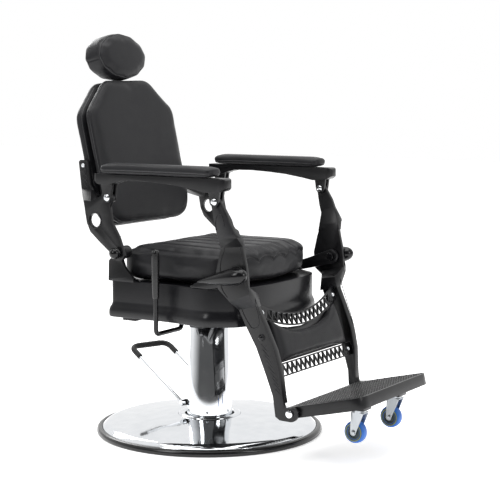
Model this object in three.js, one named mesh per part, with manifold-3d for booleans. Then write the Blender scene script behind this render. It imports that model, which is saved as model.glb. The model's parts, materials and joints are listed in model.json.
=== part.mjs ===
// Hydraulic barber chair, built as an assembly of separate pieces.
// Millimetres. +Z is up, the sitter faces -Y, +X is the sitter's left. The origin is the centre of the
// base's underside. Outlines of the side castings are drawn in the YZ plane and given a thickness along X.
import * as THREE from "three";
import { mergeVertices } from "three/addons/utils/BufferGeometryUtils.js";
import Module from "manifold-3d";

const wasm = await Module();
wasm.setup();

// ---- Driving dimensions -----------------------------------------------------------------------------
const GAP = 0.35; // between pieces that rest on or against each other
const RUN = 0.3; // radial running clearance of pins in their holes
const DEG = Math.PI / 180;
const ROUND = 36; // facets round a large turned piece

// heights that the upper works hang on
const BOX_BOTTOM_Z = 375;
const BOX_TOP_Z = 487;

// base and column
const BASE_R = 350;
const RIM_HEIGHT = 20;
const RIM_WIDTH = 17;
const PLATE_THICK = 8;
const DOME_EDGE_Z = 30;
const DOME_EDGE_STEP = 15.5;
const DOME_TOP_Z = 52.5;
const DOME_WALL = 3;
const COLLAR_R = 96.6;
const COLLAR_WIDTH = 20.6;
const COLLAR_TOP_Z = 57;
const COVER_BOTTOM_Z = 18;
const COVER_TOP_Z = BOX_BOTTOM_Z - 13;
const COVER_BOTTOM_R = 72.4;
const COVER_TOP_R = 57;
const COVER_WALL = 2.5;
const CYLINDER_R = 36;
const CYLINDER_TOP_Z = COVER_TOP_Z - 22;
const CYLINDER_FLOOR = 22;
const RAM_R = 23.6;
const RAM_BOTTOM_Z = 60;
const RAM_FLANGE_R = COVER_TOP_R - COVER_WALL - 8.5;
const RAM_FLANGE = 8;
const SPIGOT_R = 16;
const BEARING_THICK = 6;

// foot pump pedal: the shaft runs along the pedal's own X, the arms along its own Y
const PEDAL_TURN = -20.55 * DEG;
const PEDAL_OFFSET = 47;
const PEDAL_Z = 85;
const PEDAL_HALF = 70;
const PEDAL_REACH = 296;
const PEDAL_RISE = 133;
const PEDAL_ROD_R = 5.5;
const PEDAL_BEND = 30;
const SLEEVE_R = 9;
const SLEEVE_TAIL = 33;
const BUSH_R = 9.6;
const BUSH_LENGTH = 26;

// seat
const BOX_WALL_INSET = 8; // the wall stands this far inside the widest part of the moulding
const MOULDING = [[3, 0], [0.6, 4], [0, 12], [0.5, 22], [2, 29], [5, 35], [7.2, 41], [BOX_WALL_INSET, 48]];
const BOX_TOP_WALL = 14;
const BOX_REAR_Y = 194;
const BOX_FRONT_Y = -284;
const BOX_REAR_HALF = 262;
const BOX_WAIST_HALF = 255;
const BOX_CORNER_HALF = 272;
const BOX_CORNER_Y = -172;
const BOX_NOSE_HALF = 226;
const BOX_NOSE_Y = -250;
const BOX_CORNER_R = 16;
const BOX_HOLLOW_HALF = 233;
const BOX_HOLLOW_REAR = 174;
const BOX_HOLLOW_FRONT = -178;
const FRAME_THICK = 8;
const FRAME_HALF = 248;
const FRAME_BAR = 48;
const FRAME_BAR_X = 80;
const FRAME_BAR_Y = 122;
const HUB_R = 60;
const CUSHION_HALF = 244;
const CUSHION_REAR_Y = 160;
const CUSHION_FRONT_Y = -256;
const CUSHION_CORNER = 42;
const CUSHION_NOSE_HALF = 100; // the front runs nearly straight this far each side of the middle
const CUSHION_SHOULDER_Y = -130; // where the sides begin to turn in towards the front
const CUSHION_TOP_Z = BOX_TOP_Z + 110;
const CUSHION_ROUND = 20;
const EAR_THICK = 12;
const REAR_EAR_X = 262;
const FRONT_EAR_X = 256;
const EAR_FOOT_X = 247;
const EAR_FOOT = 7;
const PIN_R = 8;
const PIVOT_NUT_R = 13;
const PIVOT_NUT = 8;
const BALL_R = 17;
const CAP_R = 25;
const CAP_LENGTH = 178;
const CAP_AHEAD = 54;
const CAP_TILT = 10.5 * DEG;

// linkage pivots, as [y, z]
const REAR_PIVOT = [116, BOX_TOP_Z + 90];
const ARM_REAR = [150, BOX_TOP_Z + 252];
const FRONT_PIVOT = [-285, BOX_TOP_Z + 48];
const ARM_FRONT = [-228, BOX_TOP_Z + 257];
const OPEN_CLEARANCE = 3.5; // radial, at the one pivot that closes the linkage

// arms, as distances from the middle plane
const ARM_X = 300;
const TONGUE_HALF = 6;
const ARM_EAR_THICK = 8;
const ARM_EAR_R = 15;
const ARM_FRAME_HALF = 23;
const ARM_FRAME_TOP = BOX_TOP_Z + 322;
const ARM_REAR_END = 190;
const ARM_NOSE_END = -272;
const PAD_HALF = 35;
const PAD_REAR = 163;
const PAD_FRONT = -228;
const PAD_THICK = 31;
const PAD_CORNER = 16;
const REAR_BOLT_R = 6;
const FRONT_BOLT_R = 5;
const BOLT_HEAD_R = 11;
const BOLT_HEAD = 5;

// backrest, in its own leaning frame: X across, Y up the back, Z out of its front
const BACK_LEAN = 13 * DEG;
const BACK_Y = 213.4;
const BACK_Z = BOX_TOP_Z + 158;
const BACK_HEIGHT = 448;
const BACK_HALF = 217;
const BACK_SHOULDER = 350;
const BACK_TOP_HALF = 108;
const BACK_CORNER = 100;
const BACK_TOP_CORNER = 26;
const BACK_PAD_FRONT = 13;
const BACK_PAD_DEPTH = 26;
const SHELL_DEPTH = 36;
const SHELL_ROUND = 10;
const SOCKET_HALF = 20;
const SOCKET_DEPTH = 17;
const SOCKET_LOW = 290;
const SOCKET_BACK = 50.5;
const POST_HALF = 14;
const POST_THICK = 8;
const POST_LOW = 300;
const POST_TOP = 520;
const HEADREST_HALF = 118;
const HEADREST_HEIGHT = 146;
const HEADREST_DEPTH = 82;
const HEADREST_AHEAD = 20;
const HEADREST_GAP = 3;
const HEADREST_ROUND = 9;
const BRACKET_HOLE_R = 21;
const BRACKET_HOLE = [202, BOX_TOP_Z + 182];
const FLANGE_X = BACK_HALF + GAP;
const FLANGE_THICK = 12;

// leg castings and leg rest
const STRUT_X = 272;
const STRUT_THICK = 12;
const RAIL_X = 222;
const RAIL_WIDTH = 23;
const RAIL_WALL = 10;
const RAIL_FRONT_WALL = 8;
const RAIL_TAPER = 0.0735; // how much the rails draw in per unit of height below RAIL_TAPER_Z
const RAIL_TAPER_Z = FRONT_PIVOT[1] - 113;
const LEG_LEAN = 20.1 * DEG;
const LEG_Y = -319;
const LEG_Z = FRONT_PIVOT[1] - 102;
const BAR_SPACING = 183;
const BAR_THICK = 6;
const BAR_HEIGHT = 39;
const BAR_DIP = 52;
const BAR_CELLS = 15;
const BAR_BORDER = 4.5;
const BAR_RIB = 1.5;
const BAR_WINDOW_HALF = 192;
const CALF_HALF = 194;
const CALF_CLEARANCE = 1.5;
const CALF_FRONT = 10;
const CALF_BACK = 16;
const BOARD_THICK = 5;

// footrest and casters
const FOOT_PIVOT = [-425, FRONT_PIVOT[1] - 390];
const FOOT_SLOPE = 13.4 * DEG;
const FOOT_TOP = 17.4;
const FOOT_THICK = 33;
const FOOT_BEHIND = 15;
const FOOT_AHEAD = 230;
const FOOT_SIDE_GAP = 1.2;
const FOOT_FRONT_HALF = 216;
const FOOT_CORNER = 44;
const FOOT_BOLT_R = 6;
const CASTER_X = 111;
const SWIVEL_Y = -588;
const CASTER_TRAIL = 13;
const WHEEL_R = 33;
const WHEEL_WIDTH = 28;
const WHEEL_Z = 91;
const HUB_RADIUS = 19;
const AXLE_R = 4;
const FORK_WALL = 2.5;
const FORK_TOP_Z = 150;
const MOUNT_BOTTOM_Z = 157;
const STEM_R = 6;

// recline lever
const LEVER_X = 285;
const LEVER_INNER_X = 155;
const LEVER_Y = -4;
const LEVER_Z = 342;
const LEVER_PIVOT_Z = BOX_BOTTOM_Z + 17;
const LEVER_SHAFT_END_X = 62;
const LEVER_R = 7;
const LEVER_BEND = 16;
const LEVER_TOP_Z = BOX_TOP_Z + 89;
const GRIP_LOW_Z = LEVER_TOP_Z - 128;
const GRIP_TOP_Z = LEVER_TOP_Z + 16;
const GRIP_R = 11.5;
const GRIP_LOW_R = LEVER_R + 1.6;
const LEVER_BEARING_R = 13;
const LEVER_BEARING_LENGTH = 40;

// ---- Materials --------------------------------------------------------------------------------------
const finish = (color, roughness, metalness) =>
  new THREE.MeshStandardMaterial({ color, roughness, metalness });
const CHROME = finish(0xd9dcdf, 0.12, 1);
const STEEL = finish(0x8d9196, 0.4, 1);
const CASTING = finish(0x1d1d1f, 0.4, 0.3);
const VINYL = finish(0x232325, 0.55, 0);
const PAINTED_BOX = finish(0x19191b, 0.35, 0);
const RUBBER = finish(0x141414, 0.8, 0);
const TREAD = finish(0x2c5fa8, 0.5, 0);
const NYLON = finish(0x53605c, 0.6, 0);

// ---- Geometry helpers -------------------------------------------------------------------------------
function solidOf(geometry) {
  const plain = geometry.index ? geometry.toNonIndexed() : geometry.clone();
  plain.deleteAttribute("normal");
  plain.deleteAttribute("uv");
  const merged = mergeVertices(plain, 1e-3);
  return new wasm.Manifold(
    new wasm.Mesh({
      numProp: 3,
      vertProperties: merged.attributes.position.array,
      triVerts: new Uint32Array(merged.index.array),
    }),
  );
}

function geometryOf(solid) {
  const mesh = solid.getMesh();
  const geometry = new THREE.BufferGeometry();
  geometry.setAttribute("position", new THREE.BufferAttribute(mesh.vertProperties, 3));
  geometry.setIndex(new THREE.BufferAttribute(mesh.triVerts, 1));
  return geometry;
}

const joined = (first, ...rest) =>
  geometryOf(rest.reduce((sum, g) => sum.add(solidOf(g)), solidOf(first)));

const cut = (first, ...tools) =>
  geometryOf(tools.reduce((left, g) => left.subtract(solidOf(g)), solidOf(first)));

const common = (first, second) => geometryOf(solidOf(first).intersect(solidOf(second)));

// The tight skin round several pieces: a web that runs straight from one to the next.
const webbed = (...pieces) => geometryOf(wasm.Manifold.hull(pieces.map(solidOf)));

const shapeOf = (points) => new THREE.Shape(points.map(([a, b]) => new THREE.Vector2(a, b)));

// Points of an arc about centre, from one angle to another, in degrees.
function arc([cx, cy], r, from, to, steps = 8) {
  const points = [];
  for (let i = 0; i <= steps; i++) {
    const a = (from + ((to - from) * i) / steps) * DEG;
    points.push([cx + r * Math.cos(a), cy + r * Math.sin(a)]);
  }
  return points;
}

// A closed outline from [x, y, radius] corners.
function roundedShape(corners, steps = 4) {
  const points = [];
  corners.forEach(([x, y, radius = 0], i) => {
    const here = new THREE.Vector2(x, y);
    if (!radius) {
      points.push(here);
      return;
    }
    const toward = (j) => new THREE.Vector2(...corners[(j + corners.length) % corners.length]);
    const start = toward(i - 1).sub(here).setLength(radius).add(here);
    const end = toward(i + 1).sub(here).setLength(radius).add(here);
    points.push(...new THREE.QuadraticBezierCurve(start, here, end).getPoints(steps));
  });
  return new THREE.Shape(points);
}

// The other half of a list of [x, y, radius] corners, mirrored and in running order.
const mirrored = (half) => [...half, ...half.map(([x, ...rest]) => [-x, ...rest]).reverse()];

// A solid through outlines of equal length, each an array of points at its own height.
function lofted(rings) {
  const count = rings[0].points.length;
  const positions = rings.flatMap(({ points, z }) => points.flatMap((p) => [p.x, p.y, z]));
  const index = [];
  for (let level = 0; level < rings.length - 1; level++) {
    for (let i = 0; i < count; i++) {
      const a = level * count + i;
      const b = level * count + ((i + 1) % count);
      index.push(a, b, b + count, a, b + count, a + count);
    }
  }
  const last = (rings.length - 1) * count;
  for (const [a, b, c] of THREE.ShapeUtils.triangulateShape(rings[0].points, [])) {
    index.push(a, c, b, last + a, last + b, last + c);
  }
  const geometry = new THREE.BufferGeometry();
  geometry.setAttribute("position", new THREE.Float32BufferAttribute(positions, 3));
  geometry.setIndex(index);
  return geometry;
}

const SIDE_BASIS = new THREE.Matrix4().makeBasis(
  new THREE.Vector3(0, 1, 0),
  new THREE.Vector3(0, 0, 1),
  new THREE.Vector3(1, 0, 0),
);

// A YZ outline between two distances from the middle plane, on the side that `side` (+1 or -1) names.
function sidePlate(points, side, inner, outer) {
  const plate = new THREE.ExtrudeGeometry(shapeOf(points), {
    depth: outer - inner,
    bevelEnabled: false,
    curveSegments: 8,
  });
  plate.applyMatrix4(SIDE_BASIS);
  return plate.translate(side > 0 ? inner : -outer, 0, 0);
}

// A round bar along X at [y, z].
function crossPin([y, z], side, inner, outer, r, sides = 12) {
  const pin = new THREE.CylinderGeometry(r, r, outer - inner, sides).rotateZ(Math.PI / 2);
  return pin.translate((side * (inner + outer)) / 2, y, z);
}

const block = (x0, x1, y0, y1, z0, z1) =>
  new THREE.BoxGeometry(x1 - x0, y1 - y0, z1 - z0).translate(
    (x0 + x1) / 2,
    (y0 + y1) / 2,
    (z0 + z1) / 2,
  );

// A body of revolution about Z from [radius, z] points.
const turned = (points, segments = ROUND) =>
  new THREE.LatheGeometry(
    points.map(([r, z]) => new THREE.Vector2(r, z)),
    segments,
  ).rotateX(Math.PI / 2);

const ring = (inner, outer, z0, z1, segments = ROUND) =>
  turned([[inner, z0], [outer, z0], [outer, z1], [inner, z1], [inner, z0]], segments);

// An upright prism over an XY outline, with its long edges rounded at the top, the bottom or both.
function slab(shape, z0, z1, round = 0, steps = 1, curveSegments = 6) {
  const slabGeometry = new THREE.ExtrudeGeometry(shape, {
    depth: z1 - z0 - 2 * round,
    bevelEnabled: round > 0,
    bevelThickness: round,
    bevelSize: round,
    bevelOffset: -round,
    bevelSegments: steps,
    curveSegments,
  });
  return slabGeometry.translate(0, 0, z0 + round);
}

function tube(curve, r, steps, sides = 8) {
  const section = new THREE.Shape(arc([0, 0], r, 0, 360 - 360 / sides, sides - 1)
    .map(([a, b]) => new THREE.Vector2(a, b)));
  return new THREE.ExtrudeGeometry(section, { steps, extrudePath: curve, bevelEnabled: false });
}

// A path of straight runs through the points, with each inner corner rounded.
function roundedPath(points, radius) {
  const path = new THREE.CurvePath();
  let from = points[0];
  for (let i = 1; i < points.length - 1; i++) {
    const into = points[i].clone().sub(points[i - 1]).normalize();
    const out = points[i + 1].clone().sub(points[i]).normalize();
    const start = points[i].clone().addScaledVector(into, -radius);
    const end = points[i].clone().addScaledVector(out, radius);
    path.add(new THREE.LineCurve3(from, start));
    path.add(new THREE.QuadraticBezierCurve3(start, points[i], end));
    from = end;
  }
  path.add(new THREE.LineCurve3(from, points[points.length - 1]));
  return path;
}

const chair = new THREE.Group();
const sideName = (side) => (side > 0 ? "left" : "right");

function add(name, geometry, material, parent = chair) {
  const mesh = new THREE.Mesh(geometry, material);
  mesh.name = name;
  parent.add(mesh);
  return mesh;
}

function leaningGroup(y, z, angle) {
  const group = new THREE.Group();
  group.position.set(0, y, z);
  group.rotation.x = angle;
  chair.add(group);
  return group;
}

// ---- Base and column --------------------------------------------------------------------------------
const RIM_INNER = BASE_R - RIM_WIDTH;
const BASE_TOP = PLATE_THICK + GAP;
const coverRadiusAt = (z) =>
  COVER_BOTTOM_R +
  ((COVER_TOP_R - COVER_BOTTOM_R) * (z - COVER_BOTTOM_Z)) / (COVER_TOP_Z - COVER_BOTTOM_Z);

function buildBase() {
  const plateR = RIM_INNER - GAP;
  add("base_plate", turned([[0, 0], [plateR, 0], [plateR, PLATE_THICK], [0, PLATE_THICK]]), STEEL);
  const rimRound = RIM_HEIGHT / 4;
  add("base_rim", turned([
    [RIM_INNER, 0], [BASE_R - rimRound / 2, 0], [BASE_R, rimRound], [BASE_R, RIM_HEIGHT / 2],
    [BASE_R - rimRound, RIM_HEIGHT - rimRound / 2], [RIM_INNER + rimRound, RIM_HEIGHT],
    [RIM_INNER, RIM_HEIGHT], [RIM_INNER, 0],
  ]), RUBBER);
  const domeR = RIM_INNER - GAP;
  const shoulderR = domeR - DOME_EDGE_STEP;
  const neckR = COLLAR_R + GAP;
  const edgeZ = RIM_HEIGHT - 1;
  add("base_dome", turned([
    [domeR - DOME_WALL, BASE_TOP], [domeR, BASE_TOP], [domeR, edgeZ], [shoulderR, DOME_EDGE_Z],
    [neckR, DOME_TOP_Z], [neckR, DOME_TOP_Z - DOME_WALL], [shoulderR - 1, DOME_EDGE_Z - DOME_WALL],
    [domeR - DOME_WALL, edgeZ - DOME_WALL / 2], [domeR - DOME_WALL, BASE_TOP],
  ]), CHROME);
  const collarInner = COLLAR_R - COLLAR_WIDTH;
  const collarRound = 4;
  add("column_collar", turned([
    [collarInner, BASE_TOP], [COLLAR_R, BASE_TOP], [COLLAR_R, COLLAR_TOP_Z - collarRound],
    [COLLAR_R - collarRound, COLLAR_TOP_Z], [collarInner + collarRound, COLLAR_TOP_Z],
    [collarInner, COLLAR_TOP_Z - collarRound], [collarInner, BASE_TOP],
  ]), CHROME);
}

const inPedalFrame = (geometry) => geometry.rotateZ(PEDAL_TURN);
const pedalCylinder = (r, from, to, sides = 16) =>
  inPedalFrame(crossPin([PEDAL_OFFSET, PEDAL_Z], 1, from, to, r, sides));

function buildColumn() {
  const cover = turned([
    [COVER_BOTTOM_R - COVER_WALL, COVER_BOTTOM_Z], [COVER_BOTTOM_R, COVER_BOTTOM_Z],
    [COVER_TOP_R, COVER_TOP_Z], [COVER_TOP_R - COVER_WALL, COVER_TOP_Z],
    [COVER_BOTTOM_R - COVER_WALL, COVER_BOTTOM_Z],
  ]);
  const past = 2 * COVER_BOTTOM_R;
  add("column_cover", cut(cover, pedalCylinder(BUSH_R + RUN, -past, past)), CHROME);
  const boreR = RAM_R + RUN;
  const boreFloor = BASE_TOP + CYLINDER_FLOOR;
  add("pump_cylinder", turned([
    [0, BASE_TOP], [CYLINDER_R, BASE_TOP], [CYLINDER_R, CYLINDER_TOP_Z], [boreR, CYLINDER_TOP_Z],
    [boreR, boreFloor], [0, boreFloor],
  ], 28), STEEL);
  const bushOuter = PEDAL_HALF - PEDAL_ROD_R - GAP - 2;
  for (const side of [1, -1]) {
    const ends = [side * (bushOuter - BUSH_LENGTH), side * bushOuter].sort((a, b) => a - b);
    const bush = cut(
      pedalCylinder(BUSH_R, ends[0], ends[1]),
      pedalCylinder(PEDAL_ROD_R + RUN, ends[0] - 5, ends[1] + 5),
    );
    add("pedal_bush_" + sideName(side), bush, RUBBER);
  }
}

function buildRam() {
  const flangeTop = BOX_BOTTOM_Z - GAP - FRAME_THICK - GAP - BEARING_THICK - GAP;
  const spigotTop = flangeTop + BEARING_THICK + FRAME_THICK + 4;
  add("ram", turned([
    [0, RAM_BOTTOM_Z], [RAM_R, RAM_BOTTOM_Z], [RAM_R, flangeTop - RAM_FLANGE],
    [RAM_FLANGE_R, flangeTop - RAM_FLANGE], [RAM_FLANGE_R, flangeTop], [SPIGOT_R, flangeTop],
    [SPIGOT_R, spigotTop], [0, spigotTop],
  ], 28), CHROME);
  const bearingZ = flangeTop + GAP;
  add("swivel_bearing", ring(SPIGOT_R + RUN, RAM_FLANGE_R - 2, bearingZ, bearingZ + BEARING_THICK, 28),
    STEEL);
}

function pedalPath(tail) {
  const slope = new THREE.Vector3(0, PEDAL_REACH, PEDAL_RISE).normalize();
  const point = (x, along) =>
    new THREE.Vector3(x, PEDAL_OFFSET, PEDAL_Z).addScaledVector(slope, along);
  const length = Math.hypot(PEDAL_REACH, PEDAL_RISE);
  const start = tail ? length - PEDAL_BEND - tail : 0;
  return roundedPath([
    point(-PEDAL_HALF, start), point(-PEDAL_HALF, length),
    point(PEDAL_HALF, length), point(PEDAL_HALF, start),
  ], PEDAL_BEND);
}

function buildPedal() {
  const rod = inPedalFrame(tube(pedalPath(0), PEDAL_ROD_R, 20));
  const shaft = pedalCylinder(PEDAL_ROD_R, -PEDAL_HALF, PEDAL_HALF, 16);
  const hubs = [-1, 1].map((side) => {
    const inner = PEDAL_HALF - PEDAL_ROD_R - 1;
    return inPedalFrame(crossPin([PEDAL_OFFSET, PEDAL_Z], side, inner, PEDAL_HALF + 7, BUSH_R, 16));
  });
  add("pedal_frame", joined(rod, shaft, ...hubs), CHROME);
  const sleeve = cut(
    inPedalFrame(tube(pedalPath(SLEEVE_TAIL), SLEEVE_R, 16)),
    inPedalFrame(tube(pedalPath(0), PEDAL_ROD_R + GAP, 20)),
  );
  add("pedal_sleeve", sleeve, RUBBER);
}

// ---- Seat -------------------------------------------------------------------------------------------
// The box's plan: straight rear, sides that flare to the front corners, and a bowed front.
function boxOutline(inset) {
  const noseX = BOX_NOSE_HALF - inset * 0.7;
  const noseY = BOX_NOSE_Y + inset * 0.8;
  const cornerX = BOX_CORNER_HALF - inset;
  const waistX = BOX_WAIST_HALF - inset;
  const flare = new THREE.CubicBezierCurve(
    new THREE.Vector2(cornerX, BOX_CORNER_Y + 30),
    new THREE.Vector2(cornerX - 4, BOX_CORNER_Y + 90),
    new THREE.Vector2(waistX, -70),
    new THREE.Vector2(waistX, 0),
  ).getPoints(5).map(({ x, y }) => [x, y]);
  return roundedShape(mirrored([
    [BOX_NOSE_HALF / 3, BOX_FRONT_Y + inset + 2], [BOX_NOSE_HALF * 0.7, BOX_FRONT_Y + inset + 12],
    [noseX, noseY, BOX_CORNER_R * 1.4], [cornerX, BOX_CORNER_Y, BOX_CORNER_R], ...flare,
    [BOX_REAR_HALF - inset, BOX_REAR_Y - inset, BOX_CORNER_R],
  ])).getPoints();
}

function buildSeatBox() {
  const levels = [...MOULDING, [BOX_WALL_INSET, BOX_TOP_Z - BOX_BOTTOM_Z - 2],
    [BOX_WALL_INSET + 2, BOX_TOP_Z - BOX_BOTTOM_Z]];
  const body = lofted(levels.map(([inset, up]) => ({ points: boxOutline(inset), z: BOX_BOTTOM_Z + up })));
  const hollow = block(-BOX_HOLLOW_HALF, BOX_HOLLOW_HALF, BOX_HOLLOW_FRONT, BOX_HOLLOW_REAR,
    BOX_BOTTOM_Z - 1, BOX_TOP_Z - BOX_TOP_WALL);
  add("seat_box", cut(body, hollow), PAINTED_BOX);
}

function buildSeatFrame() {
  const top = BOX_BOTTOM_Z - GAP;
  const low = top - FRAME_THICK;
  const acrossBars = [-FRAME_BAR_Y, FRAME_BAR_Y].map((y) =>
    block(-FRAME_HALF, FRAME_HALF, y - FRAME_BAR / 2, y + FRAME_BAR / 2, low, top));
  const alongBars = [-FRAME_BAR_X, FRAME_BAR_X].map((x) =>
    block(x - FRAME_BAR / 2, x + FRAME_BAR / 2, -FRAME_BAR_Y, FRAME_BAR_Y, low, top));
  const hub = turned([[0, low], [HUB_R, low], [HUB_R, top], [0, top]], 40);
  const hole = turned([[0, low - 1], [SPIGOT_R + RUN, low - 1], [SPIGOT_R + RUN, top + 1], [0, top + 1]], 40);
  add("seat_frame", cut(joined(hub, ...acrossBars, ...alongBars), hole), STEEL);
}

function cushionShape() {
  const shape = new THREE.Shape();
  const half = CUSHION_HALF;
  const r = CUSHION_CORNER;
  shape.moveTo(half, CUSHION_REAR_Y - r);
  shape.absarc(half - r, CUSHION_REAR_Y - r, r, 0, Math.PI / 2, false);
  shape.absarc(-half + r, CUSHION_REAR_Y - r, r, Math.PI / 2, Math.PI, false);
  const noseY = CUSHION_FRONT_Y + 8;
  const pull = (half - CUSHION_NOSE_HALF) * 0.6;
  const shoulderPull = (CUSHION_SHOULDER_Y - CUSHION_FRONT_Y) * 0.62;
  shape.lineTo(-half, CUSHION_SHOULDER_Y);
  shape.bezierCurveTo(-half, CUSHION_SHOULDER_Y - shoulderPull, -CUSHION_NOSE_HALF - pull, noseY + 10,
    -CUSHION_NOSE_HALF, noseY);
  shape.quadraticCurveTo(-CUSHION_NOSE_HALF / 2, CUSHION_FRONT_Y, 0, CUSHION_FRONT_Y);
  shape.quadraticCurveTo(CUSHION_NOSE_HALF / 2, CUSHION_FRONT_Y, CUSHION_NOSE_HALF, noseY);
  shape.bezierCurveTo(CUSHION_NOSE_HALF + pull, noseY + 10, half, CUSHION_SHOULDER_Y - shoulderPull, half,
    CUSHION_SHOULDER_Y);
  shape.closePath();
  return shape;
}

function buildCushion() {
  add("seat_cushion", slab(cushionShape(), BOX_TOP_Z + GAP, CUSHION_TOP_Z, CUSHION_ROUND, 2, 5), VINYL);
}

function earFoot(side, x, y0, y1) {
  const low = BOX_TOP_Z + GAP;
  const edges = [side * EAR_FOOT_X, side * (x + EAR_THICK)].sort((a, b) => a - b);
  return block(edges[0], edges[1], y0, y1, low, low + EAR_FOOT);
}

function buildEars(side) {
  const low = BOX_TOP_Z + GAP;
  const hole = (pivot) => crossPin(pivot, side, EAR_FOOT_X - 5, ARM_X, PIN_R + RUN);
  const [rearY, rearZ] = REAR_PIVOT;
  const rearOutline = [
    [rearY - 30, low], [rearY + 62, low], [rearY + 60, rearZ - 29], ...arc(REAR_PIVOT, 19, 40, 270),
    [rearY + 13, rearZ - 24], [rearY + 2, rearZ - 48], [rearY - 22, low + EAR_FOOT + 10],
    [rearY - 30, low + EAR_FOOT + 3],
  ];
  const rearBoss = crossPin(REAR_PIVOT, side, REAR_EAR_X, ARM_X - TONGUE_HALF - GAP, 19, 18);
  const rear = joined(sidePlate(rearOutline, side, REAR_EAR_X, REAR_EAR_X + EAR_THICK), rearBoss,
    earFoot(side, REAR_EAR_X, rearY - 30, rearY + 62));
  add("rear_ear_" + sideName(side), cut(rear, hole(REAR_PIVOT)), CASTING);

  const footRear = BOX_CORNER_Y + 58;
  const footFront = BOX_CORNER_Y - 10;
  const frontOutline = [
    [footRear, low], [footRear - 14, low + EAR_FOOT + 6], [footFront - 30, low + 42],
    ...arc(FRONT_PIVOT, 22, 80, 250), [footFront - 36, low + 8], [footFront, low],
  ];
  const front = joined(sidePlate(frontOutline, side, FRONT_EAR_X, FRONT_EAR_X + EAR_THICK),
    earFoot(side, FRONT_EAR_X, footFront, footRear));
  add("front_ear_" + sideName(side), cut(front, hole(FRONT_PIVOT)), CASTING);
}

function buildPivots(side) {
  const nutEnd = REAR_EAR_X - GAP;
  const ballX = ARM_X + TONGUE_HALF + BALL_R - 1;
  const ball = new THREE.SphereGeometry(BALL_R, 12, 8).translate(side * ballX, ...REAR_PIVOT);
  add("rear_pivot_" + sideName(side), joined(
    crossPin(REAR_PIVOT, side, nutEnd - PIVOT_NUT, nutEnd, PIVOT_NUT_R, 6),
    crossPin(REAR_PIVOT, side, nutEnd - 1, ballX, PIN_R),
    ball,
  ), CASTING);

  // a teardrop cap, fat over the pivot and drawn out to a point towards the rear
  const profile = [[0, 0]];
  for (let i = 1; i < 14; i++) {
    const t = i / 14;
    profile.push([CAP_R * 1.3 * Math.pow(Math.sin(Math.PI * Math.pow(t, 0.62)), 0.8) * (1 - 0.42 * t),
      CAP_LENGTH * t]);
  }
  profile.push([0, CAP_LENGTH]);
  const fattest = Math.max(...profile.map(([r]) => r));
  const scaled = profile.map(([r, along]) => new THREE.Vector2((r * CAP_R) / fattest, along));
  const capX = STRUT_X + STRUT_THICK + 1 + CAP_R;
  const cap = new THREE.LatheGeometry(scaled, 14)
    .translate(0, -CAP_AHEAD, 0)
    .rotateX(-CAP_TILT)
    .translate(side * capX, ...FRONT_PIVOT);
  const frontNut = FRONT_EAR_X - GAP;
  add("front_pivot_" + sideName(side), joined(
    crossPin(FRONT_PIVOT, side, frontNut - PIVOT_NUT, frontNut, PIVOT_NUT_R, 6),
    crossPin(FRONT_PIVOT, side, frontNut - 1, capX, PIN_R),
    cap,
  ), CASTING);
}

// ---- Recline lever, on the sitter's right -----------------------------------------------------------
function buildLever() {
  const at = (x, z) => new THREE.Vector3(-x, LEVER_Y, z);
  const rodPath = roundedPath([
    at(LEVER_SHAFT_END_X, LEVER_PIVOT_Z), at(LEVER_INNER_X, LEVER_PIVOT_Z), at(LEVER_INNER_X, LEVER_Z),
    at(LEVER_X, LEVER_Z), at(LEVER_X, LEVER_TOP_Z),
  ], LEVER_BEND);
  add("lever_rod", tube(rodPath, LEVER_R, 30), CASTING);
  const bore = LEVER_R + GAP;
  const boreTop = LEVER_TOP_Z + 1;
  add("lever_grip", turned([
    [bore, GRIP_LOW_Z], [GRIP_LOW_R, GRIP_LOW_Z], [GRIP_R, (GRIP_LOW_Z + GRIP_TOP_Z) / 2],
    [GRIP_R, GRIP_TOP_Z - 5], [GRIP_R - 4, GRIP_TOP_Z], [0, GRIP_TOP_Z], [0, boreTop], [bore, boreTop],
    [bore, GRIP_LOW_Z],
  ], 20).translate(-LEVER_X, LEVER_Y, 0), RUBBER);
  const start = FRAME_BAR_X - LEVER_BEARING_LENGTH / 2;
  const end = start + LEVER_BEARING_LENGTH;
  const foot = block(-end, -start, LEVER_Y - LEVER_BEARING_R, LEVER_Y + LEVER_BEARING_R,
    BOX_BOTTOM_Z, LEVER_PIVOT_Z);
  const sleeve = crossPin([LEVER_Y, LEVER_PIVOT_Z], -1, start, end, LEVER_BEARING_R, 20);
  const bearingBore = crossPin([LEVER_Y, LEVER_PIVOT_Z], -1, start - 2, end + 2, LEVER_R + RUN, 16);
  add("lever_bearing", cut(joined(sleeve, foot), bearingBore), CASTING);
}

// ---- Backrest ---------------------------------------------------------------------------------------
const backShape = () => roundedShape(mirrored([
  [BACK_HALF, 0, BACK_CORNER], [BACK_HALF, BACK_SHOULDER, BACK_TOP_CORNER],
  [BACK_TOP_HALF, BACK_HEIGHT, BACK_TOP_CORNER],
]), 6);

const shellFront = -(BACK_PAD_DEPTH + GAP);
const shellBack = shellFront - SHELL_DEPTH;

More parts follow.
